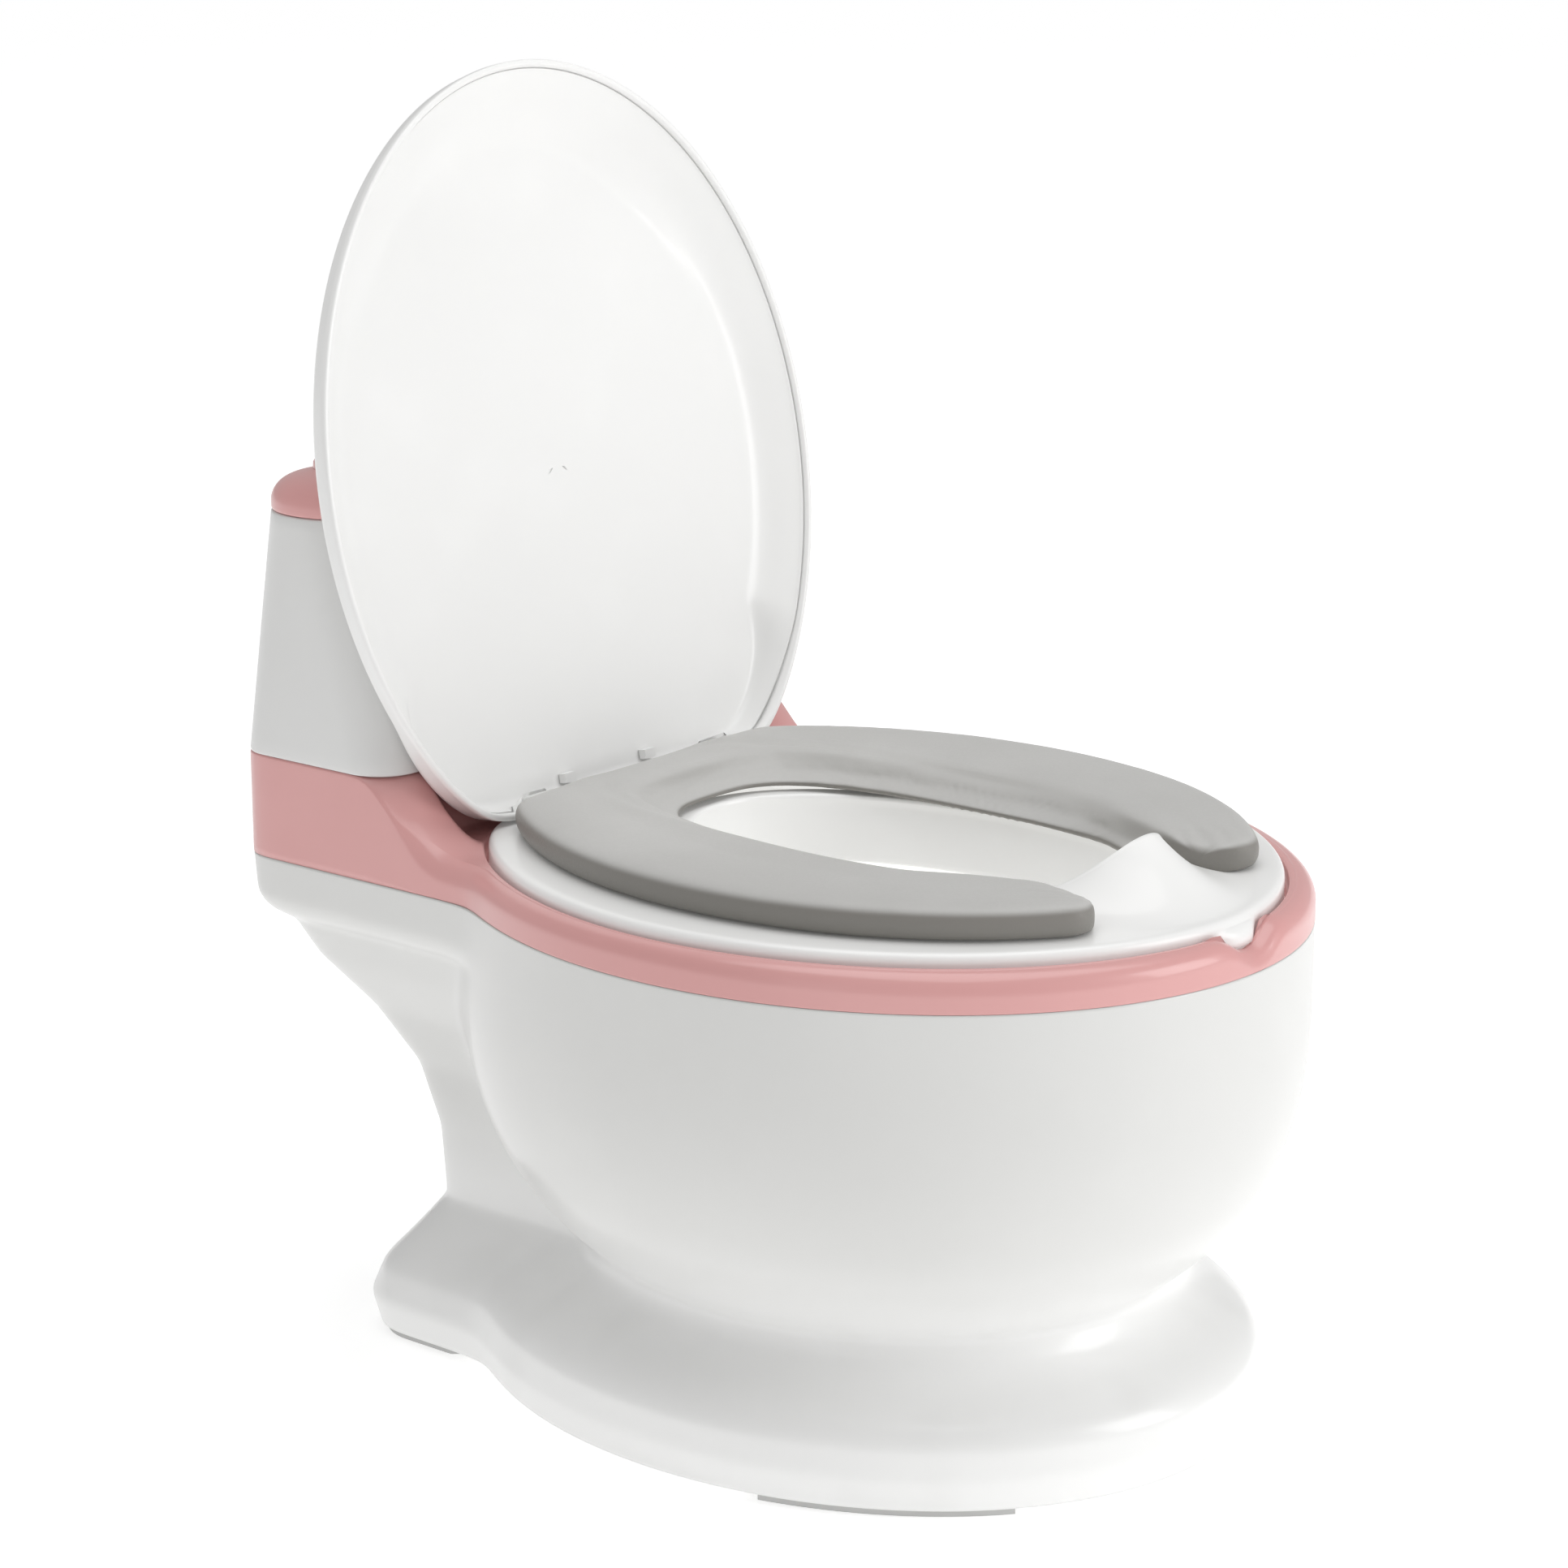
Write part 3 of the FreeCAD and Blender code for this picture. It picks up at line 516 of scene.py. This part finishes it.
def build_deck():
    r_out = blur(parting_radius(), 1.0, 0, True)
    seat = cut_rear(oval(RING_A + RING_GAP, RING_B + RING_GAP, SEAT_CY, 1.94), RING_REAR + RING_GAP)
    r_in = radial(seat, BODY_POLE, THETA)
    mouth = cut_rear(oval(114.0, 133.0, SEAT_CY - 3.0), 92.0)
    r_mouth = radial(mouth, BODY_POLE, THETA)
    c, s = np.cos(THETA), np.sin(THETA)
    edge_h = deck_height(r_out * c, BODY_POLE + r_out * s)
    bend = 8.0 - 7.0 * smoothstep(edge_h, RIM_TOP + 1.5, RIM_TOP + 14.0)
    columns = []
    for j in range(STEPS):
        def h(r):
            return deck_height(r * c[j], BODY_POLE + r * s[j])

        rho = min(bend[j], (r_out[j] - r_in[j]) * 0.75)
        wall_top = float(h(r_out[j] - rho)) - rho
        wall = [(r_out[j], z) for z in np.linspace(PARTING_Z + 0.25, wall_top, 16)]
        angle = np.linspace(0, np.pi / 2, 13)[1:]
        arc = [(r_out[j] - rho * (1 - math.cos(a)), wall_top + rho * math.sin(a)) for a in angle]
        run = np.linspace(r_out[j] - rho, r_in[j] + 1.0, 240)
        top = resample(np.stack([run, h(run)], 1), 72)[1:]
        z_in = float(h(r_in[j] + 1.0))
        inner = [(r_in[j] + 0.3, z_in - 0.3), (r_in[j], z_in - 1.0)]
        inner += [(r_in[j], z) for z in np.linspace(z_in - 2.0, SHELF_Z + 0.2, 7)]
        shelf = [(r_mouth[j] + (r_in[j] - r_mouth[j]) * k, SHELF_Z - 0.05) for k in (0.97, 0.5, 0.03)]
        under = [(r_mouth[j], SHELF_Z - 0.4), (r_mouth[j], PARTING_Z + 0.2),
                 (0.5 * (r_mouth[j] + r_out[j]), PARTING_Z + 0.15), (r_out[j] - 1.0, PARTING_Z + 0.1)]
        columns.append(np.concatenate([wall, arc, top, inner, shelf, under]))
    columns = np.array(columns)
    smooth = columns.copy()
    body_rows = slice(2, 16 + 12 + 70)
    smooth[:, body_rows, 1] = blur(blur(columns[:, :100, 1], 1.1, 0, True), 1.3, 1, False)[:, body_rows]
    rows = polar(THETA, BODY_POLE, smooth[:, :, 0], smooth[:, :, 1])
    return place(grid("deck", rows), "base", "pink_shell", PINK, "rim_deck")


build_deck()


# ---- tank casing ----
def casing_outline(z, inset):
    """Tank outline at height z: it narrows and its front leans back towards the top."""
    k = (z - BAND_TOP) / (LID_LINE - BAND_TOP)
    return rounded(112.9 - 2.3 * k - inset, 111.5 + 17.5 * k + inset, 188.5 - 6.0 * k - inset,
                   14.5 + 11.5 * k - inset, 17.0 + 9.0 * k - inset)


def build_casing():
    steps = [(BAND_TOP + 0.15, 0.9), (BAND_TOP + 0.4, 0.3), (BAND_TOP + 1.2, 0.0)]
    steps += [(z, 0.0) for z in np.linspace(BAND_TOP + 6, LID_LINE - 5, 22)]
    steps += [(LID_LINE - 1.0, 0.0), (LID_LINE - 0.35, 0.3), (LID_LINE - 0.1, 0.8), (LID_LINE - 0.1, 2.0)]
    steps += [(z, 2.5) for z in np.linspace(LID_LINE - 1.0, BAND_TOP + 1.0, 12)]
    steps += [(BAND_TOP + 0.2, 2.2)]
    rows = []
    for z, inset in steps:
        p = casing_outline(z, inset)
        rows.append(np.column_stack([p, np.full(len(p), z)]))
    return place(grid("tank_walls", rows), "base", "tank_shell", TANK, "tank_casing")


build_casing()


# ---- tank lid, its collar and the button ----
SHOULDER = 11.5                 # radius of the tank lid's rounded shoulder


def lid_dome(e):
    """Height of the tank lid above its line at distance e in from the edge."""
    k = np.clip(e / SHOULDER, 0, 1)
    return 3.0 + 9.6 * np.sqrt(1 - (1 - k) ** 2) + 2.6 * smoothstep(e, 6.0, 26.0)


def build_tank_lid():
    hw, y0, y1 = 110.6, 129.0, 182.5
    r = 26.0
    mid = 0.5 * (y0 + y1)
    outline = rounded(hw, y0, y1, r)
    spine = np.column_stack([np.clip(outline[:, 0], -(hw - r), hw - r), np.full(len(outline), mid)])
    reach = np.linalg.norm(outline - spine, axis=1)

    def ring(e, z):
        k = 1 - e / reach
        p = spine + (outline - spine) * np.clip(k, 0.0, 1)[:, None]
        return np.column_stack([p, np.full(len(p), z)])

    rows = [ring(0.8, LID_LINE + 0.1), ring(0.25, LID_LINE + 0.35)]
    rows += [ring(0.0, LID_LINE + 1.0), ring(0.0, LID_LINE + 2.0)]
    rounding = SHOULDER * (1 - np.cos(np.linspace(0, np.pi / 2, 18)))
    ins = np.concatenate([rounding, np.linspace(12.5, 26.7, 14)])
    rows += [ring(e, LID_LINE + float(lid_dome(e))) for e in ins]
    under = [ring(e, LID_LINE + float(lid_dome(max(e - 2.4, 0))) - 2.5) for e in ins[::-3] if e > 3.0]
    rows += under + [ring(2.6, LID_LINE + 0.1)]
    return place(grid("tank_top", rows), "tank_cover", "pink_shell", PINK, "tank_lid")


def build_button():
    """Raised collar round the button, the posts beside it, and the button with its stem."""
    top = LID_LINE + float(lid_dome(26.0))
    collar = [(11.2, top - 9.0), (14.7, top - 9.0), (14.7, top - 0.5), (14.6, top + 0.9), (14.2, top + 1.6),
              (13.4, top + 2.0), (12.4, top + 2.0), (11.7, top + 1.7), (11.3, top + 1.0), (11.2, top - 1.0)]
    turn = np.linspace(0, 2 * np.pi, 96, endpoint=False)
    rows = [[(BUTTON_X + r * math.cos(a), BUTTON_Y + r * math.sin(a), z) for a in turn] for r, z in collar]
    place(grid("button_collar", rows), "tank_cover", "pink_shell", PINK)

    post = [(0.0, 320.6), (3.6, 320.6), (4.0, 321.0), (4.0, 331.0), (0.0, 331.0)]
    posts = [revolve("post", post, (x, BUTTON_Y), 40) for x in POST_XS]
    place(join("module_posts", posts), "tank_cover", "pink_shell", PINK)

    stem_end = 325.4
    crown = top + 3.6
    cap = [(0.0, stem_end), (2.6, stem_end), (2.6, top - 1.0), (8.6, top - 1.0), (9.0, top - 7.5),
           (11.0, top - 7.5), (11.0, crown - 1.9), (10.75, crown - 1.2), (10.1, crown - 0.7),
           (8.5, crown - 0.35), (6.0, crown - 0.14), (3.0, crown - 0.03), (0.0, crown)]
    button = revolve("push_button", cap, (BUTTON_X, BUTTON_Y))
    place(button, "button", "button_cap", BUTTON_PINK, "flush_button")


build_tank_lid()
build_button()


# ---- inner pot ----
def build_pot():
    """Tapered pot: outside wall upwards, flange, then inside wall downwards."""
    # height, half width, half length
    sections = [(72.0, 40.0, 58.0), (73.0, 54.0, 76.0), (76.5, 66.0, 88.0), (84.0, 77.0, 99.0),
                (100.0, 88.0, 109.0), (140.0, 98.0, 117.0), (178.0, 102.5, 120.0), (189.5, 104.0, 121.0)]
    steps = [(radial(oval(a, b, POT_POLE), POT_POLE, THETA), z) for z, a, b in sections]
    rim = radial(cut_rear(oval(RING_A - 1.8, RING_B - 1.8, SEAT_CY), 99.5), POT_POLE, THETA)
    inner = radial(oval(101.6, 118.6, POT_POLE), POT_POLE, THETA)
    steps += [(rim - 0.6, 190.4), (rim, 190.9), (rim, 192.7), (rim - 0.6, 193.2), (inner + 2.0, 193.2),
              (inner + 0.5, 192.8), (inner, 191.6)]
    for z, a, b in sections[::-1]:
        inside = radial(oval(a - POT_WALL, b - POT_WALL, POT_POLE), POT_POLE, THETA)
        steps.append((inside, z + (POT_WALL if z < 100 else 0.0)))
    rows = [polar(THETA, POT_POLE, r[:, None], np.full((STEPS, 1), z))[0] for r, z in steps]
    return place(grid("pot", rows, loop=False), "pot", "inner_plastic", POT_MAT, "inner_pot")


build_pot()


# ---- seat ring with its splash guard ----
def guard_height(x, s):
    """Rise above the ring at distance s in front of the hole's edge."""
    crest = (GUARD_TOP - RING_TOP) * np.exp(-(np.abs(x) / 31.0) ** 2.1)
    crest = crest * smoothstep(-np.abs(x), -52.0, -38.0)
    fall = np.clip(1 - s / 34.0, 0, 1)
    return crest * (0.82 * fall ** 1.15 + 0.18 * fall ** 3)


def build_ring():
    pole = HOLE_CY
    outline = cut_rear(oval(RING_A, RING_B, SEAT_CY, 1.92), RING_REAR, 12.0)
    tab = 3.2 * np.exp(-((THETA - 1.5 * np.pi) * 130.0 / 9.0) ** 4)
    r_out = radial(outline, pole, THETA)
    r_hole = radial(oval(HOLE_A, HOLE_B, HOLE_CY), pole, THETA)
    c, s = np.cos(THETA), np.sin(THETA)
    columns = []
    for j in range(STEPS):
        ro, rh = r_out[j], r_hole[j]
        front = smoothstep(-s[j], 0.25, 0.6)
        run = np.linspace(ro - 3.0, rh, 120)
        x, y = run * c[j], pole + run * s[j]
        top = RING_TOP + guard_height(x, run - rh) * front
        trough = smoothstep(-np.abs(x), -45.0, -42.5) * smoothstep(y, 79.5, 81.5)
        top = top - 7.4 * trough
        edge = float(top[0])
        side = [(195.2, 1.0), (197.0, 1.0), (199.0, 1.0), (min(201.0, edge - 3.2), 0.5), (edge - 3.0, 0.0)]
        wall = [(ro + tab[j] * k, min(z, edge - 3.0 - 0.2 * (4 - i))) for i, (z, k) in enumerate(side)]
        angle = np.linspace(0, np.pi / 2, 8)[1:]
        arc = [(ro - 3.0 * (1 - math.cos(a)), edge - 3.0 + 3.0 * math.sin(a)) for a in angle]
        crest = float(top[-1])
        lip = [(rh + 1.0 * (1 - math.sin(a)) - 0.4, crest - 1.6 * (1 - math.cos(a))) for a in angle]
        across = resample(np.stack([run, top], 1), 54)[1:-2]
        start = crest - 1.8
        inner = [(rh - 1.6 * k, start - (start - 180.0) * k) for k in np.linspace(0.04, 1, 14)]
        under = [(rh - 1.2, 179.2), (rh - 0.2, 179.0), (rh + 1.0, 179.3), (rh + 1.6, 180.5),
                 (rh + 2.6, 196.0)]
        low = min(edge, RING_TOP) - 3.0
        flat = [(rh + 6.0, min(200.8, low)), (0.5 * (rh + ro), min(200.8, low)), (ro - 6.0, min(200.8, low)),
                (ro - 3.2, min(199.5, low)), (ro - 3.0, 195.4)]
        columns.append(np.concatenate([wall, arc, across, lip, inner, under, flat]))
    columns = np.array(columns)
    columns[:, 10:62, 1] = blur(columns[:, 6:66, 1], 0.9, 1, False)[:, 4:56]
    rows = polar(THETA, pole, columns[:, :, 0], columns[:, :, 1])
    return place(grid("ring", rows), "seat", "white_shell", RING_MAT, "seat_ring")


build_ring()


def lug_outline():
    a = np.radians(np.linspace(-20, 200, 40))
    arc = np.stack([HINGE_Y + LUG_R * np.cos(a), HINGE_Z + LUG_R * np.sin(a)], 1)
    low = np.array([[HINGE_Y - LUG_R, LUG_FOOT], [HINGE_Y, LUG_FOOT - 0.01], [HINGE_Y + LUG_R, LUG_FOOT]])
    return np.concatenate([arc, low])


lugs = [barrel("lug", x0, x0 + 16.0, lug_outline()) for x0 in (-60.0, 44.0)]
place(join("hinge_lugs", lugs), "seat", "white_shell", WHITE)


# ---- seat lid ----
LID_A, LID_B, LID_CT = 132.9, 151.9, 123.1
LID_EDGE = -0.2
LID_DEPTH, BULGE_DEPTH, LID_THIN = 16.0, 24.0, 2.4
LID_SLOPE = 28.0                # width of the dish's rounded side


def stand(points):
    """Lid drawn flat (x across, y along, outside towards -z), stood up at the hinge."""
    p = np.asarray(points, float)
    turn = math.pi / 2 - LEAN
    c, s = math.cos(turn), math.sin(turn)
    y = p[..., 1] * c - p[..., 2] * s + HINGE_Y - 0.9 * math.sin(LEAN) + 0.3 * math.cos(LEAN)
    z = p[..., 1] * s + p[..., 2] * c + HINGE_Z - 0.9 * math.cos(LEAN) - 0.3 * math.sin(LEAN)
    return np.stack([p[..., 0], y, z], -1)


def lid_outline():
    """Oval with a straight bottom edge and rounded corners."""
    p = oval(LID_A, LID_B, LID_CT, 2.0, 1440)
    y = p[:, 1]
    p[:, 1] = 0.5 * (y + LID_EDGE + np.sqrt((y - LID_EDGE) ** 2 + 9.0 ** 2)) - 1.1
    return p


def lid_depth(x, y, e, thin):
    """Depth of the dish behind the rim plane at distance e in from the outline."""
    k = np.clip(e / LID_SLOPE, 0, 1)
    if thin:
        slope = np.sqrt(np.clip(1 - (1 - k) ** 2.2, 0, 1)) * (0.55 + 0.45 * smoothstep(k, 0.0, 0.7))
    else:
        slope = 0.19 + 0.81 * np.sqrt(np.clip(1 - (1 - k) ** 2.3, 0, 1))
    hump = np.exp(-((np.abs(x) / 72.0) ** 2.6 + (np.abs(y - 206.0) / 41.0) ** 2.6))
    return (LID_DEPTH - thin) * slope + (BULGE_DEPTH - LID_DEPTH) * hump * smoothstep(k, 0.5, 1.0)


def build_lid():
    pole = LID_CT
    r = radial(lid_outline(), pole, THETA)
    c, s = np.cos(THETA), np.sin(THETA)
    edge = np.stack([r * c, r * s], 1)
    tangent = np.roll(edge, -1, 0) - np.roll(edge, 1, 0)
    normal = np.stack([tangent[:, 1], -tangent[:, 0]], 1)
    normal /= np.linalg.norm(normal, axis=1, keepdims=True)
    facing = np.abs(normal[:, 0] * c + normal[:, 1] * s)
    bottom = smoothstep(-s, 0.55, 0.85)

    def row(inset, thin):
        """Points at one distance in from the outline, on the dish's outside or inside face."""
        rr = np.maximum(r - inset / facing, r * 0.002)
        x, y = rr * c, pole + rr * s
        e = (r - rr) * facing * (1 + 4.5 * bottom)
        return np.stack([x, y, -lid_depth(x, y, e, thin)], 1)

    rounding = LID_SLOPE * (1 - np.cos(np.linspace(0.22, np.pi / 2, 26)))
    insets = np.concatenate([rounding, np.linspace(31, 128, 44)])
    outside = [row(e, 0.0) for e in insets[::-1]]
    rim = []
    for inset, z in ((0.25, -3.1), (0.0, -2.6), (0.0, -0.8), (0.2, -0.25), (0.7, 0.0), (1.6, 0.0),
                     (2.2, -0.25)):
        q = row(inset, 0.0)
        rim.append(np.column_stack([q[:, 0], q[:, 1], np.full(STEPS, z)]))
    inside = []
    for e in np.concatenate([[0.25, 0.7], insets]):
        q = row(e + LID_THIN, LID_THIN)
        rr = np.hypot(q[:, 0], q[:, 1] - pole)
        inner_e = np.maximum((r - rr) * facing - LID_THIN, 0) * (1 + 4.5 * bottom)
        q[:, 2] = -lid_depth(q[:, 0], q[:, 1], inner_e, LID_THIN) - 0.3
        inside.append(q)
    rows = stand(np.array(outside + rim + inside))
    # keep the shell clear of the hinge barrels
    near = smoothstep(-np.abs(np.abs(rows[..., 0]) - 52.0), -10.0, -8.2)
    dy, dz = rows[..., 1] - HINGE_Y, rows[..., 2] - HINGE_Z
    d = np.maximum(np.hypot(dy, dz), 0.01)
    push = np.maximum(HINGE_CLEAR - d, 0) * near
    rows[..., 1] += dy / d * push
    rows[..., 2] += dz / d * push
    return place(grid("lid_shell", rows, loop=False), "lid", "lid_shell", LID_MAT, "seat_lid")


build_lid()


def knuckle_outline():
    a = np.radians(np.linspace(100, 350, 44))
    arc = np.stack([HINGE_Y + KNUCKLE_R * np.cos(a), HINGE_Z - 0.5 + KNUCKLE_R * np.sin(a)], 1)
    ends = stand([[0, 3.0, -9.0], [0, 3.6, -6.0], [0, 3.6, -3.0]])[:, 1:]
    return np.concatenate([arc, ends])


knuckles = [barrel("knuckle", x0, x0 + 13.4, knuckle_outline(), 0.8) for x0 in (-43.6, 30.2)]
place(join("lid_knuckles", knuckles), "lid", "lid_shell", LID_MAT)


# ---- cushion ----
CUSHION_LOW = 204.95
TIP_ANGLE = 20.5                # degrees from straight ahead to the middle of each arm's end
INNER_A, INNER_B, INNER_CY = 43.8, 91.0, -39.8
HINGE_HOLLOW = 7.9              # radius of the hollow in the cushion's rear round the hinge axis
CUSHION_POLE = -40.0
VOXEL, SWELL_CAP = 0.0042, 0.0016   # metres
# section from the lip round the inner slope and over the crown: distance in from an edge, height
INNER_SIDE = [(0.6, 205.0), (0.0, 206.0), (0.7, 207.0), (3.2, 207.7), (8.0, 209.3), (13.0, 212.0),
              (16.6, 214.4), (18.8, 215.8), (21.5, 216.5), (28.0, 216.9)]
OUTER_SIDE = [(22.0, 217.3), (12.0, 217.2), (6.4, 216.9), (3.0, 216.0), (1.1, 214.2), (0.4, 211.6),
              (0.6, 208.4), (1.6, 206.0), (3.4, 205.0)]


def cushion_curves(count):
    """Matching points of the outer and inner edge, from one arm's end round to the other's."""
    ang = np.radians(np.linspace(TIP_ANGLE, 360 - TIP_ANGLE, count)) - np.pi / 2
    outer = cut_rear(oval(118.4, 145.8, SEAT_CY), 88.6, 3.0)
    inner = oval(INNER_A, INNER_B, INNER_CY, 3.1)
    lines = []
    for outline in (outer, inner):
        r = radial(outline, CUSHION_POLE, ang)
        lines.append(np.stack([r * np.cos(ang), CUSHION_POLE + r * np.sin(ang)], 1))
    return lines


def cushion_mesh(name, shrink):
    """Horseshoe pad: a crowned section swept from one arm's end round to the other."""
    outer, inner = cushion_curves(330)
    gap = outer - inner
    width = np.linalg.norm(gap, axis=1)
    along = gap / width[:, None]
    mid = 0.5 * (outer + inner)
    travel = np.concatenate([[0], np.cumsum(np.linalg.norm(np.diff(mid, axis=0), axis=1))])
    from_tip = np.minimum(travel, travel[-1] - travel)
    tip = np.sqrt(np.clip(1 - (1 - np.clip(from_tip / 15.0, 0, 1)) ** 2, 0.003, 1))
    rows = []
    for k in range(len(mid)):
        squeeze = 0.62 + 0.38 * smoothstep(mid[k, 1], -125.0, -85.0)
        fit = min(1.0, (width[k] - 5.0) / 50.0)
        section = [(d * min(squeeze, fit), z) for d, z in INNER_SIDE]
        section += [(width[k] - d * fit, z) for d, z in OUTER_SIDE]
        section = np.array(section + section[:1])
        section = resample(section, 97)[:-1]
        section = blur(section, 0.8, 0, True)
        centre = section.mean(0)
        toward = centre - section
        section += toward / np.linalg.norm(toward, axis=1, keepdims=True) * shrink
        across = (section[:, 0] - 0.5 * width[k]) * tip[k]
        height = CUSHION_LOW + (section[:, 1] - CUSHION_LOW) * (0.45 + 0.55 * tip[k])
        p = mid[k] + across[:, None] * along[k]
        rows.append(np.column_stack([p, height]))
    return grid(name, rows, loop=False)


def simulate_cushion(pad):
    """Swells a remeshed copy of the pad as cloth and carries its capped movement over to the pad."""
    copy = pad.copy()
    copy.data = pad.data.copy()
    scene = bpy.context.scene
    scene.collection.objects.link(copy)
    bpy.context.view_layer.objects.active = copy
    remesh = copy.modifiers.new("remesh", "REMESH")
    remesh.mode = "VOXEL"
    remesh.voxel_size = VOXEL
    bpy.ops.object.modifier_apply(modifier="remesh")
    start = np.array([v.co for v in copy.data.vertices])
    cloth = copy.modifiers.new("cloth", "CLOTH")
    cloth.settings.use_pressure = True
    cloth.settings.uniform_pressure_force = 4.0
    cloth.settings.effector_weights.gravity = 0
    cloth.settings.quality = 5
    cloth.settings.mass = 0.3
    cloth.settings.tension_stiffness = 30
    cloth.settings.compression_stiffness = 30
    cloth.settings.bending_stiffness = 4
    cloth.point_cache.frame_start, cloth.point_cache.frame_end = 1, 20
    for f in range(1, 21):
        scene.frame_set(f)
    bpy.ops.object.modifier_apply(modifier="cloth")
    scene.frame_set(1)
    move = np.array([v.co for v in copy.data.vertices]) - start
    size = np.linalg.norm(move, axis=1, keepdims=True)
    move *= np.minimum(1, SWELL_CAP / np.maximum(size, 1e-9))
    tree = KDTree(len(start))
    for i, co in enumerate(start):
        tree.insert(co, i)
    tree.balance()
    for v in pad.data.vertices:
        near = tree.find_n(v.co, 12)
        weight = np.array([1.0 / (d + 0.002) for _, _, d in near])
        shift = (move[[i for _, i, _ in near]] * weight[:, None]).sum(0) / weight.sum()
        v.co = v.co + Vector(shift)
        v.co.z = max(v.co.z, CUSHION_LOW * MM)
    bpy.data.objects.remove(copy)


def crease_cushion(obj):
    """Soft fold above the inner slope, small wrinkles at the arms' ends, and room for the hinge."""
    mesh = obj.data
    co = np.array([v.co for v in mesh.vertices]) / MM
    no = np.array([v.normal for v in mesh.vertices])
    x, y, z = co.T
    hole = (np.abs(x / 43.4) ** 2.9 + np.abs((y + 40.0) / 90.0) ** 2.9) ** (1 / 2.9)
    from_hole = (hole - 1) * 52.0
    up = np.clip(no[:, 2], 0, 1)
    fold = -0.55 * np.exp(-((from_hole - 20.0) / 2.4) ** 2) + 0.3 * np.exp(-((from_hole - 25.0) / 3.5) ** 2)
    fold *= up * smoothstep(y, -80.0, -20.0)
    tips = np.exp(-(((np.abs(x) - 40.0) / 15.0) ** 2 + ((y + 142.0) / 15.0) ** 2))
    wrinkles = 0.3 * np.sin((np.abs(x) * 0.8 - y * 0.6) * 0.9 + 0.4 * np.sin(y * 0.5)) * tips * up
    co += no * (fold + wrinkles)[:, None]
    # hollow behind the cushion for the hinge barrels
    reach = HINGE_HOLLOW * smoothstep(-np.abs(co[:, 0]), -64.0, -61.0)
    room = np.sqrt(np.maximum(reach ** 2 - (co[:, 2] - HINGE_Z) ** 2, 0))
    co[:, 1] = np.where(room > 0, np.minimum(co[:, 1], HINGE_Y - room), co[:, 1])
    co[:, 2] = np.maximum(co[:, 2], CUSHION_LOW)
    for v, p in zip(mesh.vertices, co * MM):
        v.co = p


def build_cushion():
    pad = cushion_mesh("cushion", 0.8)
    simulate_cushion(pad)
    crease_cushion(pad)
    place(pad, "seat", "cushion_skin", CUSHION, "seat_cushion")


build_cushion()


# ---- floor, light and camera ----
def build_stage():
    """Pale floor that brightens away from the object."""
    mesh = bpy.data.meshes.new("floor")
    n, size = 24, 40.0
    m = n + 1
    verts = [((i / n - 0.5) * size, (j / n - 0.5) * size, 0.0) for j in range(m) for i in range(m)]
    faces = [(j * m + i, j * m + i + 1, (j + 1) * m + i + 1, (j + 1) * m + i)
             for j in range(n) for i in range(n)]
    mesh.from_pydata(verts, [], faces)
    floor = bpy.data.objects.new("floor", mesh)
    bpy.context.scene.collection.objects.link(floor)
    mat, nodes, links, bsdf = new_material("pale_floor")
    coord = nodes.new("ShaderNodeTexCoord").outputs["Object"]
    slow = noise_node(nodes, links, coord, 1.2, 2.0).outputs["Fac"]
    tone = blend_colours(nodes, links, slow, (0.95, 0.95, 0.95), (0.93, 0.93, 0.93))
    links.new(tone, bsdf.inputs["Base Color"])
    bsdf.inputs["Roughness"].default_value = 0.9
    bsdf.inputs["Emission Color"].default_value = (1, 1, 1, 1)
    away = nodes.new("ShaderNodeVectorMath")
    away.operation = "LENGTH"
    links.new(coord, away.inputs[0])
    glow = ranged(nodes, links, away.outputs["Value"], 0.5, 1.8, 0.42, 0.60)
    links.new(glow, bsdf.inputs["Emission Strength"])
    floor.data.materials.append(mat)


def add_light(name, position, target, size, power):
    data = bpy.data.lights.new(name, "AREA")
    data.shape = "RECTANGLE"
    data.size, data.size_y = size
    data.energy = power
    obj = bpy.data.objects.new(name, data)
    obj.location = position
    obj.rotation_mode = "QUATERNION"
    obj.rotation_quaternion = (Vector(target) - Vector(position)).to_track_quat("-Z", "Y")
    bpy.context.scene.collection.objects.link(obj)


build_stage()
add_light("key", (0.65, -1.9, 0.95), (0, -0.02, 0.2), (0.9, 1.3), 15.0)
add_light("top", (0.1, 0.0, 1.9), (0, 0, 0.2), (1.5, 1.5), 14.0)
add_light("left_fill", (-1.9, -0.3, 0.6), (0, 0, 0.2), (0.5, 1.3), 0.7)
world = bpy.data.worlds.new("studio")
world.use_nodes = True
world.node_tree.nodes["Background"].inputs["Color"].default_value = (1, 1, 1, 1)
world.node_tree.nodes["Background"].inputs["Strength"].default_value = 0.42
bpy.context.scene.world = world

AZIMUTH, ELEVATION, DISTANCE = math.radians(-52.0), math.radians(15.75), 1.5
TARGET = Vector((0, -0.0022, 0.203))
level = math.cos(ELEVATION)
back = Vector((math.sin(AZIMUTH) * level, -math.cos(AZIMUTH) * level, math.sin(ELEVATION)))
right = Vector((0, 0, 1)).cross(back).normalized()
up = back.cross(right)
camera_data = bpy.data.cameras.new("camera")
camera_data.sensor_width = 36.0
camera_data.lens = 94.2
camera = bpy.data.objects.new("camera", camera_data)
bpy.context.scene.collection.objects.link(camera)
camera.location = TARGET + back * DISTANCE
aim = -back - right * 0.0102 + up * 0.0119
camera.rotation_mode = "QUATERNION"
camera.rotation_quaternion = aim.to_track_quat("-Z", "Y")
bpy.context.scene.camera = camera
bpy.context.scene.view_settings.view_transform = "Standard"
